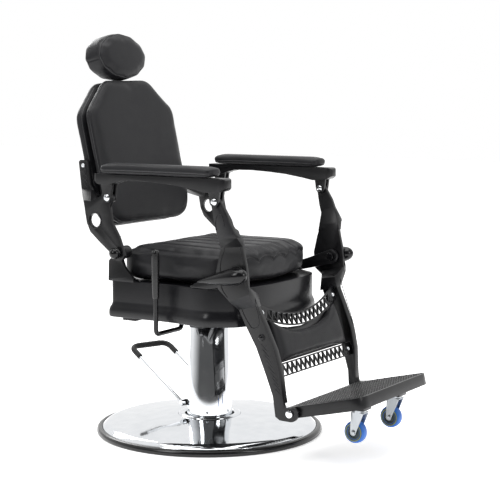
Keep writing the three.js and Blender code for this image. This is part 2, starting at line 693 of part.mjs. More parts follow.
function buildBack(group) {
  add("back_cushion", slab(backShape(), -BACK_PAD_DEPTH, BACK_PAD_FRONT, 11, 2), VINYL, group);
  const shell = slab(backShape(), shellBack, shellFront, SHELL_ROUND, 2);
  const socketFront = -SOCKET_BACK + SOCKET_DEPTH;
  const pocket = block(-SOCKET_HALF - GAP, SOCKET_HALF + GAP, SOCKET_LOW - GAP, BACK_HEIGHT + 5,
    -SOCKET_BACK - GAP, socketFront + GAP);
  add("back_shell", cut(shell, pocket), VINYL, group);

  const socketTop = BACK_HEIGHT - 2;
  const middle = -SOCKET_BACK + SOCKET_DEPTH / 2;
  const postBack = middle - POST_THICK / 2;
  const postFront = middle + POST_THICK / 2;
  const body = block(-SOCKET_HALF, SOCKET_HALF, SOCKET_LOW, socketTop, -SOCKET_BACK, socketFront);
  const bore = block(-POST_HALF - RUN, POST_HALF + RUN, SOCKET_LOW - 1, socketTop + 1, postBack - RUN,
    postFront + RUN);
  add("headrest_socket", cut(body, bore), CASTING, group);

  add("headrest_post", block(-POST_HALF, POST_HALF, POST_LOW, POST_TOP, postBack, postFront), CHROME,
    group);
  const drumCentre = BACK_HEIGHT + HEADREST_GAP + HEADREST_HEIGHT / 2;
  const drumShape = new THREE.Shape();
  drumShape.absellipse(0, drumCentre, HEADREST_HALF, HEADREST_HEIGHT / 2, 0, 2 * Math.PI);
  const drum = slab(drumShape, HEADREST_AHEAD - HEADREST_DEPTH, HEADREST_AHEAD, HEADREST_ROUND, 2);
  const slot = block(-POST_HALF - GAP, POST_HALF + GAP, 0, POST_TOP + GAP, postBack - GAP, postFront + GAP);
  add("headrest_pad", cut(drum, slot), VINYL, group);
}

function buildBracket(side) {
  const [ry, rz] = REAR_PIVOT;
  const [ay, az] = ARM_REAR;
  const mainOutline = [
    ...arc(REAR_PIVOT, 24, 200, 310, 6), [ry + 36, rz + 4], [ry + 68, rz + 28], [ry + 103, rz + 57],
    [ry + 116, rz + 83], [ry + 122, rz + 115], [ay + 93, az - 12], [ay + 66, az - 14], [ay + 31, az + 2],
    ...arc(ARM_REAR, 15, 70, 190, 6), [ay - 4, az - 28], [ay - 6, az - 50], [ay - 12, az - 78],
    [ry - 1, rz + 48],
  ];
  const mainInner = ARM_X - TONGUE_HALF;
  const mainOuter = ARM_X + TONGUE_HALF;
  const main = sidePlate(mainOutline, side, mainInner, mainOuter);
  const flangeOutline = [
    [ay + 96, az - 4], [ay + 160, az - 7], [ay + 166, az + 45], [ay + 172, az + 97], [ay + 166, az + 102],
    [ay + 142, az + 102], [ay + 136, az + 97], [ay + 132, az + 63], [ay + 126, az + 29], [ay + 114, az + 8],
  ];
  const flange = sidePlate(flangeOutline, side, FLANGE_X, FLANGE_X + FLANGE_THICK);
  // the two plates are joined by a web that slopes outwards and forwards
  const web = webbed(
    sidePlate([[ay + 108, az - 4], [ay + 160, az - 7], [ay + 162, az + 14], [ay + 124, az + 16]], side,
      FLANGE_X, FLANGE_X + FLANGE_THICK),
    sidePlate([[ay + 62, az - 40], [ay + 88, az - 42], [ay + 93, az - 12], [ay + 66, az - 14]], side,
      mainInner, mainOuter),
  );
  const throughPin = (pivot, r) => crossPin(pivot, side, ARM_X - 20, ARM_X + 20, r, 16);
  add("back_bracket_" + sideName(side), cut(
    joined(main, web, flange),
    throughPin(REAR_PIVOT, PIN_R + RUN),
    throughPin(ARM_REAR, REAR_BOLT_R + RUN),
    throughPin(BRACKET_HOLE, BRACKET_HOLE_R),
  ), CASTING);
}

// ---- Arms -------------------------------------------------------------------------------------------
function armOutline() {
  const top = ARM_FRAME_TOP;
  const [, rearZ] = ARM_REAR;
  const [frontY, frontZ] = ARM_FRONT;
  return [
    [ARM_REAR_END, top], [ARM_NOSE_END + 12, top], [ARM_NOSE_END + 3, top - 4], [ARM_NOSE_END, top - 12],
    [ARM_NOSE_END + 2, top - 26], [frontY - 28, frontZ + 30], [frontY - 8, frontZ + 25],
    [frontY + 23, frontZ + 25], [frontY + 62, frontZ + 32], [frontY + 123, frontZ + 41],
    [frontY + 186, frontZ + 46], [frontY + 249, frontZ + 49], [ARM_REAR[0] - 65, rearZ + 53],
    [ARM_REAR[0] - 32, rearZ + 45], [ARM_REAR[0] - 15, rearZ + 38], [ARM_REAR[0] + 27, rearZ + 40],
    [ARM_REAR_END, rearZ + 51],
  ];
}

function clevisEar(pivot, side, inner, reach) {
  const [y, z] = pivot;
  const outline = [
    ...arc(pivot, ARM_EAR_R, 180, 360, 8), [y + ARM_EAR_R + 6, z + reach], [y - ARM_EAR_R - 6, z + reach],
  ];
  return sidePlate(outline, side, inner, inner + ARM_EAR_THICK);
}

function bolt(pivot, side, r) {
  const reach = TONGUE_HALF + GAP + ARM_EAR_THICK + GAP;
  const head = new THREE.CylinderGeometry(BOLT_HEAD_R * 0.6, BOLT_HEAD_R, BOLT_HEAD, 14);
  head.rotateZ(-side * Math.PI / 2).translate(side * (ARM_X + reach + BOLT_HEAD / 2), ...pivot);
  return joined(
    head,
    crossPin(pivot, side, ARM_X - reach - BOLT_HEAD + 1, ARM_X + reach + 1, r),
    crossPin(pivot, side, ARM_X - reach - BOLT_HEAD, ARM_X - reach, BOLT_HEAD_R - 1, 6),
  );
}

function buildArm(side) {
  const name = sideName(side);
  const profile = sidePlate(armOutline(), side, ARM_X - ARM_FRAME_HALF, ARM_X + ARM_FRAME_HALF);
  const plan = roundedShape([
    [ARM_FRAME_HALF, ARM_NOSE_END, ARM_FRAME_HALF * 0.95], [ARM_FRAME_HALF, ARM_REAR_END, 8],
    [-ARM_FRAME_HALF, ARM_REAR_END, 8], [-ARM_FRAME_HALF, ARM_NOSE_END, ARM_FRAME_HALF * 0.95],
  ], 6);
  const upright = slab(plan, ARM_REAR[1], ARM_FRAME_TOP + 1).translate(side * ARM_X, 0, 0);
  const frame = common(profile, upright);
  const earGap = TONGUE_HALF + GAP;
  const ears = [ARM_REAR, ARM_FRONT].flatMap((pivot) => [
    clevisEar(pivot, side, ARM_X + earGap, 42),
    clevisEar(pivot, side, ARM_X - earGap - ARM_EAR_THICK, 42),
  ]);
  const holes = [[ARM_REAR, REAR_BOLT_R], [ARM_FRONT, FRONT_BOLT_R]].map(([pivot, r]) =>
    crossPin(pivot, side, ARM_X - 30, ARM_X + 30, r + RUN));
  add("arm_frame_" + name, cut(joined(frame, ...ears), ...holes), CASTING);
  add("arm_rear_bolt_" + name, bolt(ARM_REAR, side, REAR_BOLT_R), CHROME);
  add("arm_front_bolt_" + name, bolt(ARM_FRONT, side, FRONT_BOLT_R), CHROME);

  const pad = roundedShape([
    [PAD_HALF, PAD_FRONT, PAD_CORNER * 1.6], [PAD_HALF, PAD_REAR, PAD_CORNER],
    [-PAD_HALF, PAD_REAR, PAD_CORNER], [-PAD_HALF, PAD_FRONT, PAD_CORNER * 1.6],
  ]);
  const padLow = ARM_FRAME_TOP + GAP;
  const padGeometry = slab(pad, padLow, padLow + PAD_THICK, 6, 1, 4).translate(side * ARM_X, 0, 0);
  add("arm_pad_" + name, padGeometry, VINYL);
}

// ---- Leg castings and leg rest ----------------------------------------------------------------------
// Each side is one casting: a tongue under the arm, a plate past the front pivot, and the leg rail.
const RAIL_FRONT = [[-33, -53], [-38, -85], [-67, -144], [-96, -212], [-111, -270], [-117, -341],
  [-120, -363]].map(([y, z]) => [FRONT_PIVOT[0] + y, FRONT_PIVOT[1] + z]);

const drawnIn = new THREE.Matrix4().set(
  1, 0, RAIL_TAPER, -RAIL_TAPER * RAIL_TAPER_Z,
  0, 1, 0, 0,
  0, 0, 1, 0,
  0, 0, 0, 1,
);

function tapered(geometry, side) {
  const matrix = drawnIn.clone();
  matrix.elements[8] *= side;
  matrix.elements[12] *= side;
  return geometry.applyMatrix4(matrix);
}

function buildLegCasting(side) {
  const [fy, fz] = ARM_FRONT;
  const [py, pz] = FRONT_PIVOT;
  const [ky, kz] = FOOT_PIVOT;
  const tongueOutline = [
    ...arc(ARM_FRONT, 15, 10, 180, 8), [fy - 37, fz - 35], [fy - 46, fz - 58], [fy - 62, fz - 84],
    [fy - 70, fz - 100], [fy - 10, fz - 104], [fy - 2, fz - 84], [fy + 6, fz - 54], [fy + 13, fz - 14],
  ];
  const plateOutline = [
    [py + 50, pz + 100], [py - 14, pz + 106], [py - 17, pz + 90], [py - 22, pz + 62], [py - 30, pz + 28],
    [py - 34, pz - 2], [py - 36, pz - 32], [py - 38, pz - 50], [py + 24, pz - 76], [py + 44, pz - 58],
    [py + 64, pz - 42], [py + 70, pz + 8], [py + 58, pz + 60], [py + 50, pz + 84],
  ];
  const dogleg = webbed(
    sidePlate([[fy - 68, fz - 94], [fy - 46, fz - 58], [fy - 2, fz - 70], [fy - 8, fz - 98]], side,
      ARM_X - TONGUE_HALF, ARM_X + TONGUE_HALF),
    sidePlate([[py - 20, pz + 84], [py - 14, pz + 106], [py + 50, pz + 100], [py + 54, pz + 76]], side,
      STRUT_X, STRUT_X + STRUT_THICK),
  );
  const step = webbed(
    sidePlate([[py - 36, pz - 32], [py - 38, pz - 50], [py + 24, pz - 76], [py + 40, pz - 50]], side,
      STRUT_X, STRUT_X + STRUT_THICK),
    sidePlate([[py - 34, pz - 58], [py - 42, pz - 90], [py + 18, pz - 104], [py + 14, pz - 66]], side,
      RAIL_X, RAIL_X + RAIL_WIDTH),
  );
  const outerX = RAIL_X + RAIL_WIDTH;
  const railOutline = [
    ...RAIL_FRONT, [ky + 17, kz + 15], [ky - 13, kz + 19], [ky - 26, kz + 10],
    ...arc(FOOT_PIVOT, 24, 190, 270, 4),
    [ky + 35, kz - 23], [ky + 49, kz - 14], [ky + 55, kz + 45], [ky + 75, kz + 104], [ky + 105, kz + 184],
    [ky + 138, kz + 245], [ky + 163, kz + 300], [ky + 150, kz + 330],
  ];
  const rail = tapered(sidePlate(railOutline, side, outerX - RAIL_WALL, outerX), side);
  const flangeOutline = [
    ...RAIL_FRONT, ...RAIL_FRONT.map(([y, z]) => [y + RAIL_FRONT_WALL, z + 1]).reverse(),
  ];
  const frontFlange = tapered(sidePlate(flangeOutline, side, RAIL_X, outerX - 1), side);
  const body = joined(
    sidePlate(tongueOutline, side, ARM_X - TONGUE_HALF, ARM_X + TONGUE_HALF),
    dogleg,
    sidePlate(plateOutline, side, STRUT_X, STRUT_X + STRUT_THICK),
    step,
    rail,
    frontFlange,
  );
  add("leg_casting_" + sideName(side), cut(
    body,
    crossPin(ARM_FRONT, side, ARM_X - 20, ARM_X + 20, FRONT_BOLT_R + OPEN_CLEARANCE, 16),
    crossPin(FRONT_PIVOT, side, STRUT_X - 20, STRUT_X + 30, PIN_R + RUN),
    crossPin(FOOT_PIVOT, side, RAIL_X - 20, outerX + 20, FOOT_BOLT_R + RUN),
  ), CASTING);
}

// A band pierced by a row of triangles that alternate up and down. The band may dip in the middle.
function piercedBar(half, middle, dip) {
  const low = (x) => middle - BAR_HEIGHT / 2 - dip * (1 - (x / half) ** 2);
  const steps = dip ? 16 : 1;
  const outline = [];
  for (let i = 0; i <= steps; i++) {
    const x = -half + (2 * half * i) / steps;
    outline.push([x, low(x)]);
  }
  for (let i = steps; i >= 0; i--) {
    const x = -half + (2 * half * i) / steps;
    outline.push([x, low(x) + BAR_HEIGHT]);
  }
  const pitch = (2 * BAR_WINDOW_HALF) / BAR_CELLS;
  const inner = BAR_HEIGHT - 2 * BAR_BORDER;
  const windows = [];
  const pierce = (points) => {
    const corners = points.map(([x, up]) => [x, low(x) + BAR_BORDER + up]);
    windows.push(slab(shapeOf(corners), -BAR_THICK - 3, 1));
  };
  for (let i = 0; i < BAR_CELLS; i++) {
    const x = -BAR_WINDOW_HALF + pitch * (i + 0.5);
    const reach = pitch / 2 - BAR_RIB;
    pierce([[x - reach, 0], [x + reach, 0], [x, inner * 0.8]]);
    if (i > 0) {
      const left = x - pitch / 2;
      pierce([[left - reach, inner], [left, inner * 0.2], [left + reach, inner]]);
    }
  }
  return cut(slab(shapeOf(outline), -BAR_THICK - 1, -1), ...windows);
}

const taperAt = (z) => RAIL_TAPER * (z - RAIL_TAPER_Z);

function buildLegRest(group) {
  const inside = RAIL_X + RAIL_WIDTH - RAIL_WALL;
  const lowBarZ = LEG_Z - (BAR_SPACING + BAR_HEIGHT / 2) * Math.cos(LEG_LEAN);
  const topBarZ = LEG_Z - (BAR_DIP * 0.3 + BAR_HEIGHT / 2) * Math.cos(LEG_LEAN);
  add("filigree_top", piercedBar(RAIL_X + taperAt(topBarZ) - 1, 0, BAR_DIP), CASTING, group);
  add("filigree_bottom", piercedBar(inside + taperAt(lowBarZ) - 1, -BAR_SPACING, 0), CASTING, group);
  const panel = (half, clearance) => {
    const low = -BAR_SPACING + BAR_HEIGHT / 2 + clearance;
    const top = -BAR_HEIGHT / 2 - clearance;
    const edgeDip = BAR_DIP * (1 - (half / inside) ** 2);
    const shape = new THREE.Shape();
    shape.moveTo(-half, low);
    shape.lineTo(half, low);
    shape.lineTo(half, top - edgeDip);
    shape.quadraticCurveTo(0, top - 2 * BAR_DIP + edgeDip, -half, top - edgeDip);
    shape.closePath();
    return shape;
  };
  add("calf_pad", slab(panel(CALF_HALF, CALF_CLEARANCE), -CALF_BACK, CALF_FRONT, 7, 2), VINYL, group);
  const boardHalf = inside + taperAt(lowBarZ) - 1;
  const boardTop = -CALF_BACK - GAP;
  add("calf_board", slab(panel(boardHalf, CALF_CLEARANCE), boardTop - BOARD_THICK, boardTop), PAINTED_BOX,
    group);
}

// ---- Footrest and casters ---------------------------------------------------------------------------
const railLugInner = RAIL_X + RAIL_WIDTH - RAIL_WALL + taperAt(FOOT_PIVOT[1]);
const footRearHalf = railLugInner - RAIL_TAPER * 20 - FOOT_SIDE_GAP;

function buildFootrest(group) {
  const flareStart = 60;
  const shape = roundedShape(mirrored([
    [footRearHalf, -FOOT_BEHIND], [footRearHalf, flareStart], [FOOT_FRONT_HALF, flareStart + 40],
    [FOOT_FRONT_HALF, FOOT_AHEAD, FOOT_CORNER],
  ]), 6);
  const plate = slab(shape, -FOOT_TOP, FOOT_THICK - FOOT_TOP);
  group.updateMatrixWorld(true);
  const [ky, kz] = FOOT_PIVOT;
  const plateLowZ = (y) => kz + (ky - y) * Math.tan(FOOT_SLOPE) - (FOOT_THICK - FOOT_TOP);
  const wedges = [-1, 1].map((side) => {
    const wedge = block(side * CASTER_X - 24, side * CASTER_X + 24, SWIVEL_Y - 24, SWIVEL_Y + 24,
      MOUNT_BOTTOM_Z, plateLowZ(SWIVEL_Y) + 12);
    return wedge.applyMatrix4(group.matrixWorld.clone().invert());
  });
  const stems = [-1, 1].map((side) => {
    const bore = turned([[0, MOUNT_BOTTOM_Z - 5], [STEM_R + RUN, MOUNT_BOTTOM_Z - 5],
      [STEM_R + RUN, MOUNT_BOTTOM_Z + 14], [0, MOUNT_BOTTOM_Z + 14]], 20);
    return bore.translate(side * CASTER_X, SWIVEL_Y, 0).applyMatrix4(group.matrixWorld.clone().invert());
  });
  const pinBores = [-1, 1].map((side) =>
    crossPin([0, 0], side, footRearHalf - 26, footRearHalf + 4, FOOT_BOLT_R + RUN, 16));
  add("footrest_plate", cut(joined(plate, ...wedges), ...stems, ...pinBores), CASTING, group);
}

function buildFootBolt(side) {
  const outer = railLugInner + RAIL_WALL + RAIL_TAPER * 12 + 1;
  add("footrest_bolt_" + sideName(side), joined(
    crossPin(FOOT_PIVOT, side, footRearHalf - 22, outer + 1, FOOT_BOLT_R, 16),
    crossPin(FOOT_PIVOT, side, outer, outer + BOLT_HEAD, BOLT_HEAD_R, 16),
  ), CHROME);
}

function buildCaster(side) {
  const name = sideName(side);
  const wheelY = SWIVEL_Y + CASTER_TRAIL;
  const earInner = WHEEL_WIDTH / 2 + 1;
  const crownHalf = earInner + FORK_WALL;
  const at = (geometry) => geometry.translate(side * CASTER_X, 0, 0);
  const outline = [
    ...arc([wheelY, WHEEL_Z], 9, 180, 360, 6), [SWIVEL_Y + 20, FORK_TOP_Z], [SWIVEL_Y - 20, FORK_TOP_Z],
  ];
  const ears = [
    at(sidePlate(outline, 1, earInner, crownHalf)),
    at(sidePlate(outline, -1, earInner, crownHalf)),
  ];
  const crown = block(side * CASTER_X - crownHalf, side * CASTER_X + crownHalf, SWIVEL_Y - 20,
    SWIVEL_Y + 20, FORK_TOP_Z - FORK_WALL, FORK_TOP_Z);
  const head = turned([
    [0, FORK_TOP_Z - 1], [18, FORK_TOP_Z - 1], [20, MOUNT_BOTTOM_Z - 3], [20, MOUNT_BOTTOM_Z - GAP],
    [STEM_R, MOUNT_BOTTOM_Z - GAP], [STEM_R, MOUNT_BOTTOM_Z + 12], [0, MOUNT_BOTTOM_Z + 12],
  ], 20).translate(side * CASTER_X, SWIVEL_Y, 0);
  const axleHole = at(crossPin([wheelY, WHEEL_Z], 1, -crownHalf - 3, crownHalf + 3, AXLE_R + RUN, 12));
  add("caster_fork_" + name, cut(joined(crown, head, ...ears), axleHole), STEEL);

  const nut = crownHalf + GAP;
  const pin = (half, r, sides) => at(crossPin([wheelY, WHEEL_Z], 1, -half, half, r, sides));
  const nutAt = (x) => at(crossPin([wheelY, WHEEL_Z], 1, x, x + 3, 7, 6));
  add("caster_axle_" + name, joined(pin(nut + 1, AXLE_R, 12), nutAt(nut), nutAt(-nut - 3)), STEEL);
  const hub = cut(pin(WHEEL_WIDTH / 2, HUB_RADIUS, 26), pin(WHEEL_WIDTH, AXLE_R + RUN, 12));
  add("caster_hub_" + name, hub, NYLON);
  const half = WHEEL_WIDTH / 2;
  const tyreInner = HUB_RADIUS + GAP;
  const tyre = turned([
    [tyreInner, -half], [WHEEL_R - 5, -half], [WHEEL_R, -half + 6], [WHEEL_R, half - 6],
    [WHEEL_R - 5, half], [tyreInner, half], [tyreInner, -half],
  ], 26).rotateY(Math.PI / 2);
  add("caster_tyre_" + name, tyre.translate(side * CASTER_X, wheelY, WHEEL_Z), TREAD);
}

// ---- Assembly ---------------------------------------------------------------------------------------
buildBase();
buildColumn();
buildRam();
buildPedal();
buildSeatFrame();
buildSeatBox();
buildCushion();
buildLever();
buildBack(leaningGroup(BACK_Y, BACK_Z, Math.PI / 2 - BACK_LEAN));
buildLegRest(leaningGroup(LEG_Y, LEG_Z, Math.PI / 2 - LEG_LEAN));
buildFootrest(leaningGroup(FOOT_PIVOT[0], FOOT_PIVOT[1], Math.PI - FOOT_SLOPE));
for (const side of [1, -1]) {
  buildEars(side);
  buildPivots(side);
  buildBracket(side);
  buildArm(side);
  buildLegCasting(side);
  buildFootBolt(side);
  buildCaster(side);
}

export default chair;
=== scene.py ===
"""Looks of a hydraulic barber chair, laid out as an add-on.

Metres, +Z up, the sitter faces -Y. Castings are smoothed copies of the frame's own solids, turned parts
are spun from their profiles, and the upholstery is inflated by cloth simulation before it is stitched.
"""

import json
import math

import bmesh
import bpy
from mathutils import Matrix, Vector, noise
from mathutils.bvhtree import BVHTree


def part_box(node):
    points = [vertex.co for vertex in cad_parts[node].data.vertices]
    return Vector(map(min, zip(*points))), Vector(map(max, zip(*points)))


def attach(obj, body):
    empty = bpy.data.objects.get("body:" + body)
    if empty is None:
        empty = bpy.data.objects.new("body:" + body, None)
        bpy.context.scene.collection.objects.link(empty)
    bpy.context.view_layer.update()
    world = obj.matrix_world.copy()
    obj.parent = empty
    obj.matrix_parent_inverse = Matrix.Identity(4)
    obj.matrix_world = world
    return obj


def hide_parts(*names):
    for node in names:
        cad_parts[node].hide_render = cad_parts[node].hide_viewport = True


bl_info = {
    "name": "Barber Chair Looks",
    "version": (1, 0, 0),
    "blender": (4, 5, 0),
    "location": "3D View > Sidebar > Chair",
    "description": "Builds the visible pieces and finishes of a hydraulic barber chair",
    "category": "Object",
}

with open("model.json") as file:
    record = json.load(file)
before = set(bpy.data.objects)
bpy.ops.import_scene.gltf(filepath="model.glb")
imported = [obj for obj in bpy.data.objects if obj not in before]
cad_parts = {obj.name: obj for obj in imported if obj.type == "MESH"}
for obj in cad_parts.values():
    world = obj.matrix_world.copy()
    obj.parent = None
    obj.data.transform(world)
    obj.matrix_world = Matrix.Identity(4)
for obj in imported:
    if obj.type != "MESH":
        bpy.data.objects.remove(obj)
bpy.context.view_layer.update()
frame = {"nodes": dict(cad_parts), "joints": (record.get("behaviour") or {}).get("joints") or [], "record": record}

MM = 0.001
SIDES = ("left", "right")
SIGN = {"left": 1, "right": -1}
BODY_OF = {node: body for body, nodes in frame["record"]["behaviour"]["bodies"].items() for node in nodes}
JOINT = {joint["name"]: joint for joint in frame["joints"]}


# ---- Sizes and colours that a user would change ---------------------------------------------------------
def length(name, description, default):
    return bpy.props.FloatProperty(name=name, description=description, default=default, min=0.0,
                                   subtype="DISTANCE", unit="LENGTH", precision=4)


def hex_colour(name, description, value):
    return bpy.props.StringProperty(name=name, description=description, default=value)


class ChairSizes(bpy.types.PropertyGroup):
    casting_edge: length("Casting edge", "Radius worn onto the edges of the black castings", 0.0022)
    seat_swell: length("Seat swell", "How far the seat cushion's cover may rise from its block", 0.012)
    back_swell: length("Back swell", "How far the backrest's cover may rise from its block", 0.010)
    small_swell: length("Pad swell", "How far the small pads' covers may rise", 0.006)
    voxel: length("Cover mesh", "Edge of the mesh that the covers are simulated on", 0.0058)
    piping: length("Piping", "Radius of the piped seams of the headrest and the arm pads", 0.0012)
    channel_pitch: length("Channel pitch", "Distance between the channels sewn along the seat", 0.064)
    channel_depth: length("Channel depth", "Depth of the channels sewn along the seat", 0.0065)
    tread_pitch: length("Tread pitch", "Distance between the raised lozenges of the footrest", 0.0125)
    turn_steps: bpy.props.IntProperty(name="Turning steps", description="Facets round a turned piece",
                                      default=128, min=24, max=256)


class ChairColours(bpy.types.PropertyGroup):
    vinyl: hex_colour("Vinyl", "Upholstery cover", "#131316")
    casting: hex_colour("Casting paint", "Paint of the cast frame pieces", "#0c0c0e")
    box: hex_colour("Seat box paint", "Paint of the wooden seat box", "#111114")
    rubber: hex_colour("Rubber", "Rim, sleeve and grip", "#0e0e0f")
    tread: hex_colour("Wheel tread", "Tyres of the casters", "#2b68bd")
    nylon: hex_colour("Wheel side", "Nylon core of the casters", "#39464a")
    ring: hex_colour("Wheel ring", "Line moulded round the caster wheels", "#9fa860")
    floor: hex_colour("Floor", "Studio floor and backdrop", "#ffffff")


def sizes():
    return bpy.context.scene.chair_sizes


def colours():
    return bpy.context.scene.chair_colours


def linear(text):
    """An sRGB hex colour as linear RGBA."""
    channels = [int(text[i:i + 2], 16) / 255 for i in (1, 3, 5)]
    return [c / 12.92 if c <= 0.04045 else ((c + 0.055) / 1.055) ** 2.4 for c in channels] + [1.0]


# ---- Materials ------------------------------------------------------------------------------------------
def node(tree, kind, links=None, **settings):
    """Adds a node. Settings name its properties or sockets, and links give sockets their sources."""
    made = tree.nodes.new(kind)
    for key, value in settings.items():
        if hasattr(made, key):
            setattr(made, key, value)
        else:
            made.inputs[key.replace("_", " ")].default_value = value
    for socket, source in (links or {}).items():
        tree.links.new(source, made.inputs[socket])
    return made


def new_material(name, base, roughness, **sockets):
    """A material with a Principled shader, its object coordinates and its base colour set."""
    material = bpy.data.materials.new(name)
    material.use_nodes = True
    tree = material.node_tree
    shader = tree.nodes["Principled BSDF"]
    shader.inputs["Base Color"].default_value = base
    shader.inputs["Roughness"].default_value = roughness
    for key, value in sockets.items():
        shader.inputs[key.replace("_", " ")].default_value = value
    place = node(tree, "ShaderNodeTexCoord").outputs["Object"]
    return material, tree, shader, place


def vary_roughness(tree, shader, source, low, high):
    spread = node(tree, "ShaderNodeMapRange", {"Value": source})
    spread.inputs["To Min"].default_value = low
    spread.inputs["To Max"].default_value = high
    tree.links.new(spread.outputs["Result"], shader.inputs["Roughness"])


MIX_A, MIX_B, MIX_RESULT = 6, 7, 2  # places of the colour sockets on a Mix node


def vary_colour(tree, shader, source, dark, light):
    mix = node(tree, "ShaderNodeMix", {"Factor": source}, data_type="RGBA")
    mix.inputs[MIX_A].default_value = dark
    mix.inputs[MIX_B].default_value = light
    tree.links.new(mix.outputs[MIX_RESULT], shader.inputs["Base Color"])


def add_bump(tree, shader, height, distance, strength):
    bump = node(tree, "ShaderNodeBump", {"Height": height})
    bump.inputs["Strength"].default_value = strength
    bump.inputs["Distance"].default_value = distance
    tree.links.new(bump.outputs["Normal"], shader.inputs["Normal"])


def per_metre(millimetres):
    """A texture scale whose features are this many millimetres apart."""
    return 1000.0 / millimetres


def shade(colour, factor):
    return [c * factor for c in colour[:3]] + [1.0]


def black_vinyl():
    """PVC upholstery vinyl, embossed with a fine leather grain: soft broad highlights broken by pebbles."""
    base = linear(colours().vinyl)
    material, tree, shader, place = new_material("black_upholstery_vinyl", base, 0.46, IOR=1.52)
    # the real grain is about 0.8 mm and too fine to show, so it is drawn at 2.2 mm
    pebbles = node(tree, "ShaderNodeTexVoronoi", {"Vector": place}, Scale=per_metre(2.2),
                   feature="DISTANCE_TO_EDGE")
    folds = node(tree, "ShaderNodeTexNoise", {"Vector": place}, Scale=per_metre(38), Detail=4.0)
    fine = node(tree, "ShaderNodeTexNoise", {"Vector": place}, Scale=per_metre(1.1), Detail=2.0)
    grain = node(tree, "ShaderNodeMath", {0: pebbles.outputs["Distance"], 1: fine.outputs["Fac"]},
                 operation="MULTIPLY_ADD")
    tree.links.new(folds.outputs["Fac"], grain.inputs[2])
    add_bump(tree, shader, grain.outputs["Value"], 0.0007, 0.38)
    vary_roughness(tree, shader, folds.outputs["Fac"], 0.36, 0.58)
    vary_colour(tree, shader, folds.outputs["Fac"], shade(base, 0.82), shade(base, 1.22))
    shader.inputs["Specular IOR Level"].default_value = 0.28
    shader.inputs["Sheen Weight"].default_value = 0.03
    shader.inputs["Sheen Roughness"].default_value = 0.4
    return material


def piping_vinyl():
    """Thin vinyl drawn over a piping cord, whose twist shows through as fine waves."""
    base = linear("#2b2b2d")
    material, tree, shader, place = new_material("black_piping_vinyl", base, 0.42, IOR=1.52)
    twist = node(tree, "ShaderNodeTexWave", {"Vector": place}, Scale=per_metre(9), Distortion=1.5)
    add_bump(tree, shader, twist.outputs["Fac"], 0.0003, 0.4)
    vary_roughness(tree, shader, twist.outputs["Fac"], 0.36, 0.5)
    return material


def casting_paint(name="satin_black_casting", gloss=0.34):
    """Sand-cast aluminium under satin black powder coat: orange peel, softly lit, with a painted highlight
    lightening its sharp edges.
    """
    base = linear(colours().casting)
    material, tree, shader, place = new_material(name, base, gloss, IOR=1.5)
    # powder coat's orange peel is 2 to 4 mm across
    peel = node(tree, "ShaderNodeTexNoise", {"Vector": place}, Scale=per_metre(3.4), Detail=3.0)
    flow = node(tree, "ShaderNodeTexNoise", {"Vector": place}, Scale=per_metre(60), Detail=3.0)
    add_bump(tree, shader, peel.outputs["Fac"], 0.0004, 0.3)
    vary_roughness(tree, shader, flow.outputs["Fac"], gloss - 0.08, gloss + 0.1)
    # painted highlight: the sharp convex edges are drawn up to 2.4 times lighter in the base colour
    edge = node(tree, "ShaderNodeNewGeometry").outputs["Pointiness"]
    painted_edge_highlight = node(tree, "ShaderNodeMapRange", {"Value": edge})
    painted_edge_highlight.inputs["From Min"].default_value = 0.52
    painted_edge_highlight.inputs["From Max"].default_value = 0.62
    vary_colour(tree, shader, painted_edge_highlight.outputs["Result"], base, shade(base, 2.4))
    shader.inputs["Specular IOR Level"].default_value = 0.3
    shader.inputs["Coat Weight"].default_value = 0.12
    shader.inputs["Coat Roughness"].default_value = 0.18
    return material


def box_paint():
    """Sprayed satin black lacquer on a plywood box: even, with slow waves from the filler."""
    base = linear(colours().box)
    material, tree, shader, place = new_material("satin_black_lacquer", base, 0.3, IOR=1.5)
    waves = node(tree, "ShaderNodeTexNoise", {"Vector": place}, Scale=per_metre(90), Detail=2.0)
    dust = node(tree, "ShaderNodeTexNoise", {"Vector": place}, Scale=per_metre(2.2), Detail=2.0)
    add_bump(tree, shader, dust.outputs["Fac"], 0.0003, 0.22)
    vary_roughness(tree, shader, waves.outputs["Fac"], 0.24, 0.4)
    vary_colour(tree, shader, waves.outputs["Fac"], shade(base, 0.85), shade(base, 1.25))
    shader.inputs["Specular IOR Level"].default_value = 0.3
    shader.inputs["Coat Weight"].default_value = 0.2
    shader.inputs["Coat Roughness"].default_value = 0.15
    return material


def chrome_plate():
    """Bright chrome over polished steel: mirror clear, with faint wiping marks in the gloss."""
    base = linear("#e4e6e9")
    material, tree, shader, place = new_material("bright_chrome_plate", base, 0.06, Metallic=1.0)
    wiping = node(tree, "ShaderNodeTexNoise", {"Vector": place}, Scale=per_metre(45), Detail=5.0)
    vary_roughness(tree, shader, wiping.outputs["Fac"], 0.03, 0.11)
    vary_colour(tree, shader, wiping.outputs["Fac"], linear("#d6d9dd"), linear("#eef0f2"))
    return material


def zinc_plate(name="zinc_plated_steel", tone="#b9bdc1"):
    """Zinc-plated pressed steel: pale grey with a fine directionless mottle and a dull shine."""
    base = linear(tone)
    material, tree, shader, place = new_material(name, base, 0.34, Metallic=1.0)
    mottle = node(tree, "ShaderNodeTexNoise", {"Vector": place}, Scale=per_metre(6), Detail=6.0)
    vary_roughness(tree, shader, mottle.outputs["Fac"], 0.22, 0.45)
    vary_colour(tree, shader, mottle.outputs["Fac"], shade(base, 0.85), base)
    add_bump(tree, shader, mottle.outputs["Fac"], 0.0002, 0.2)
    return material


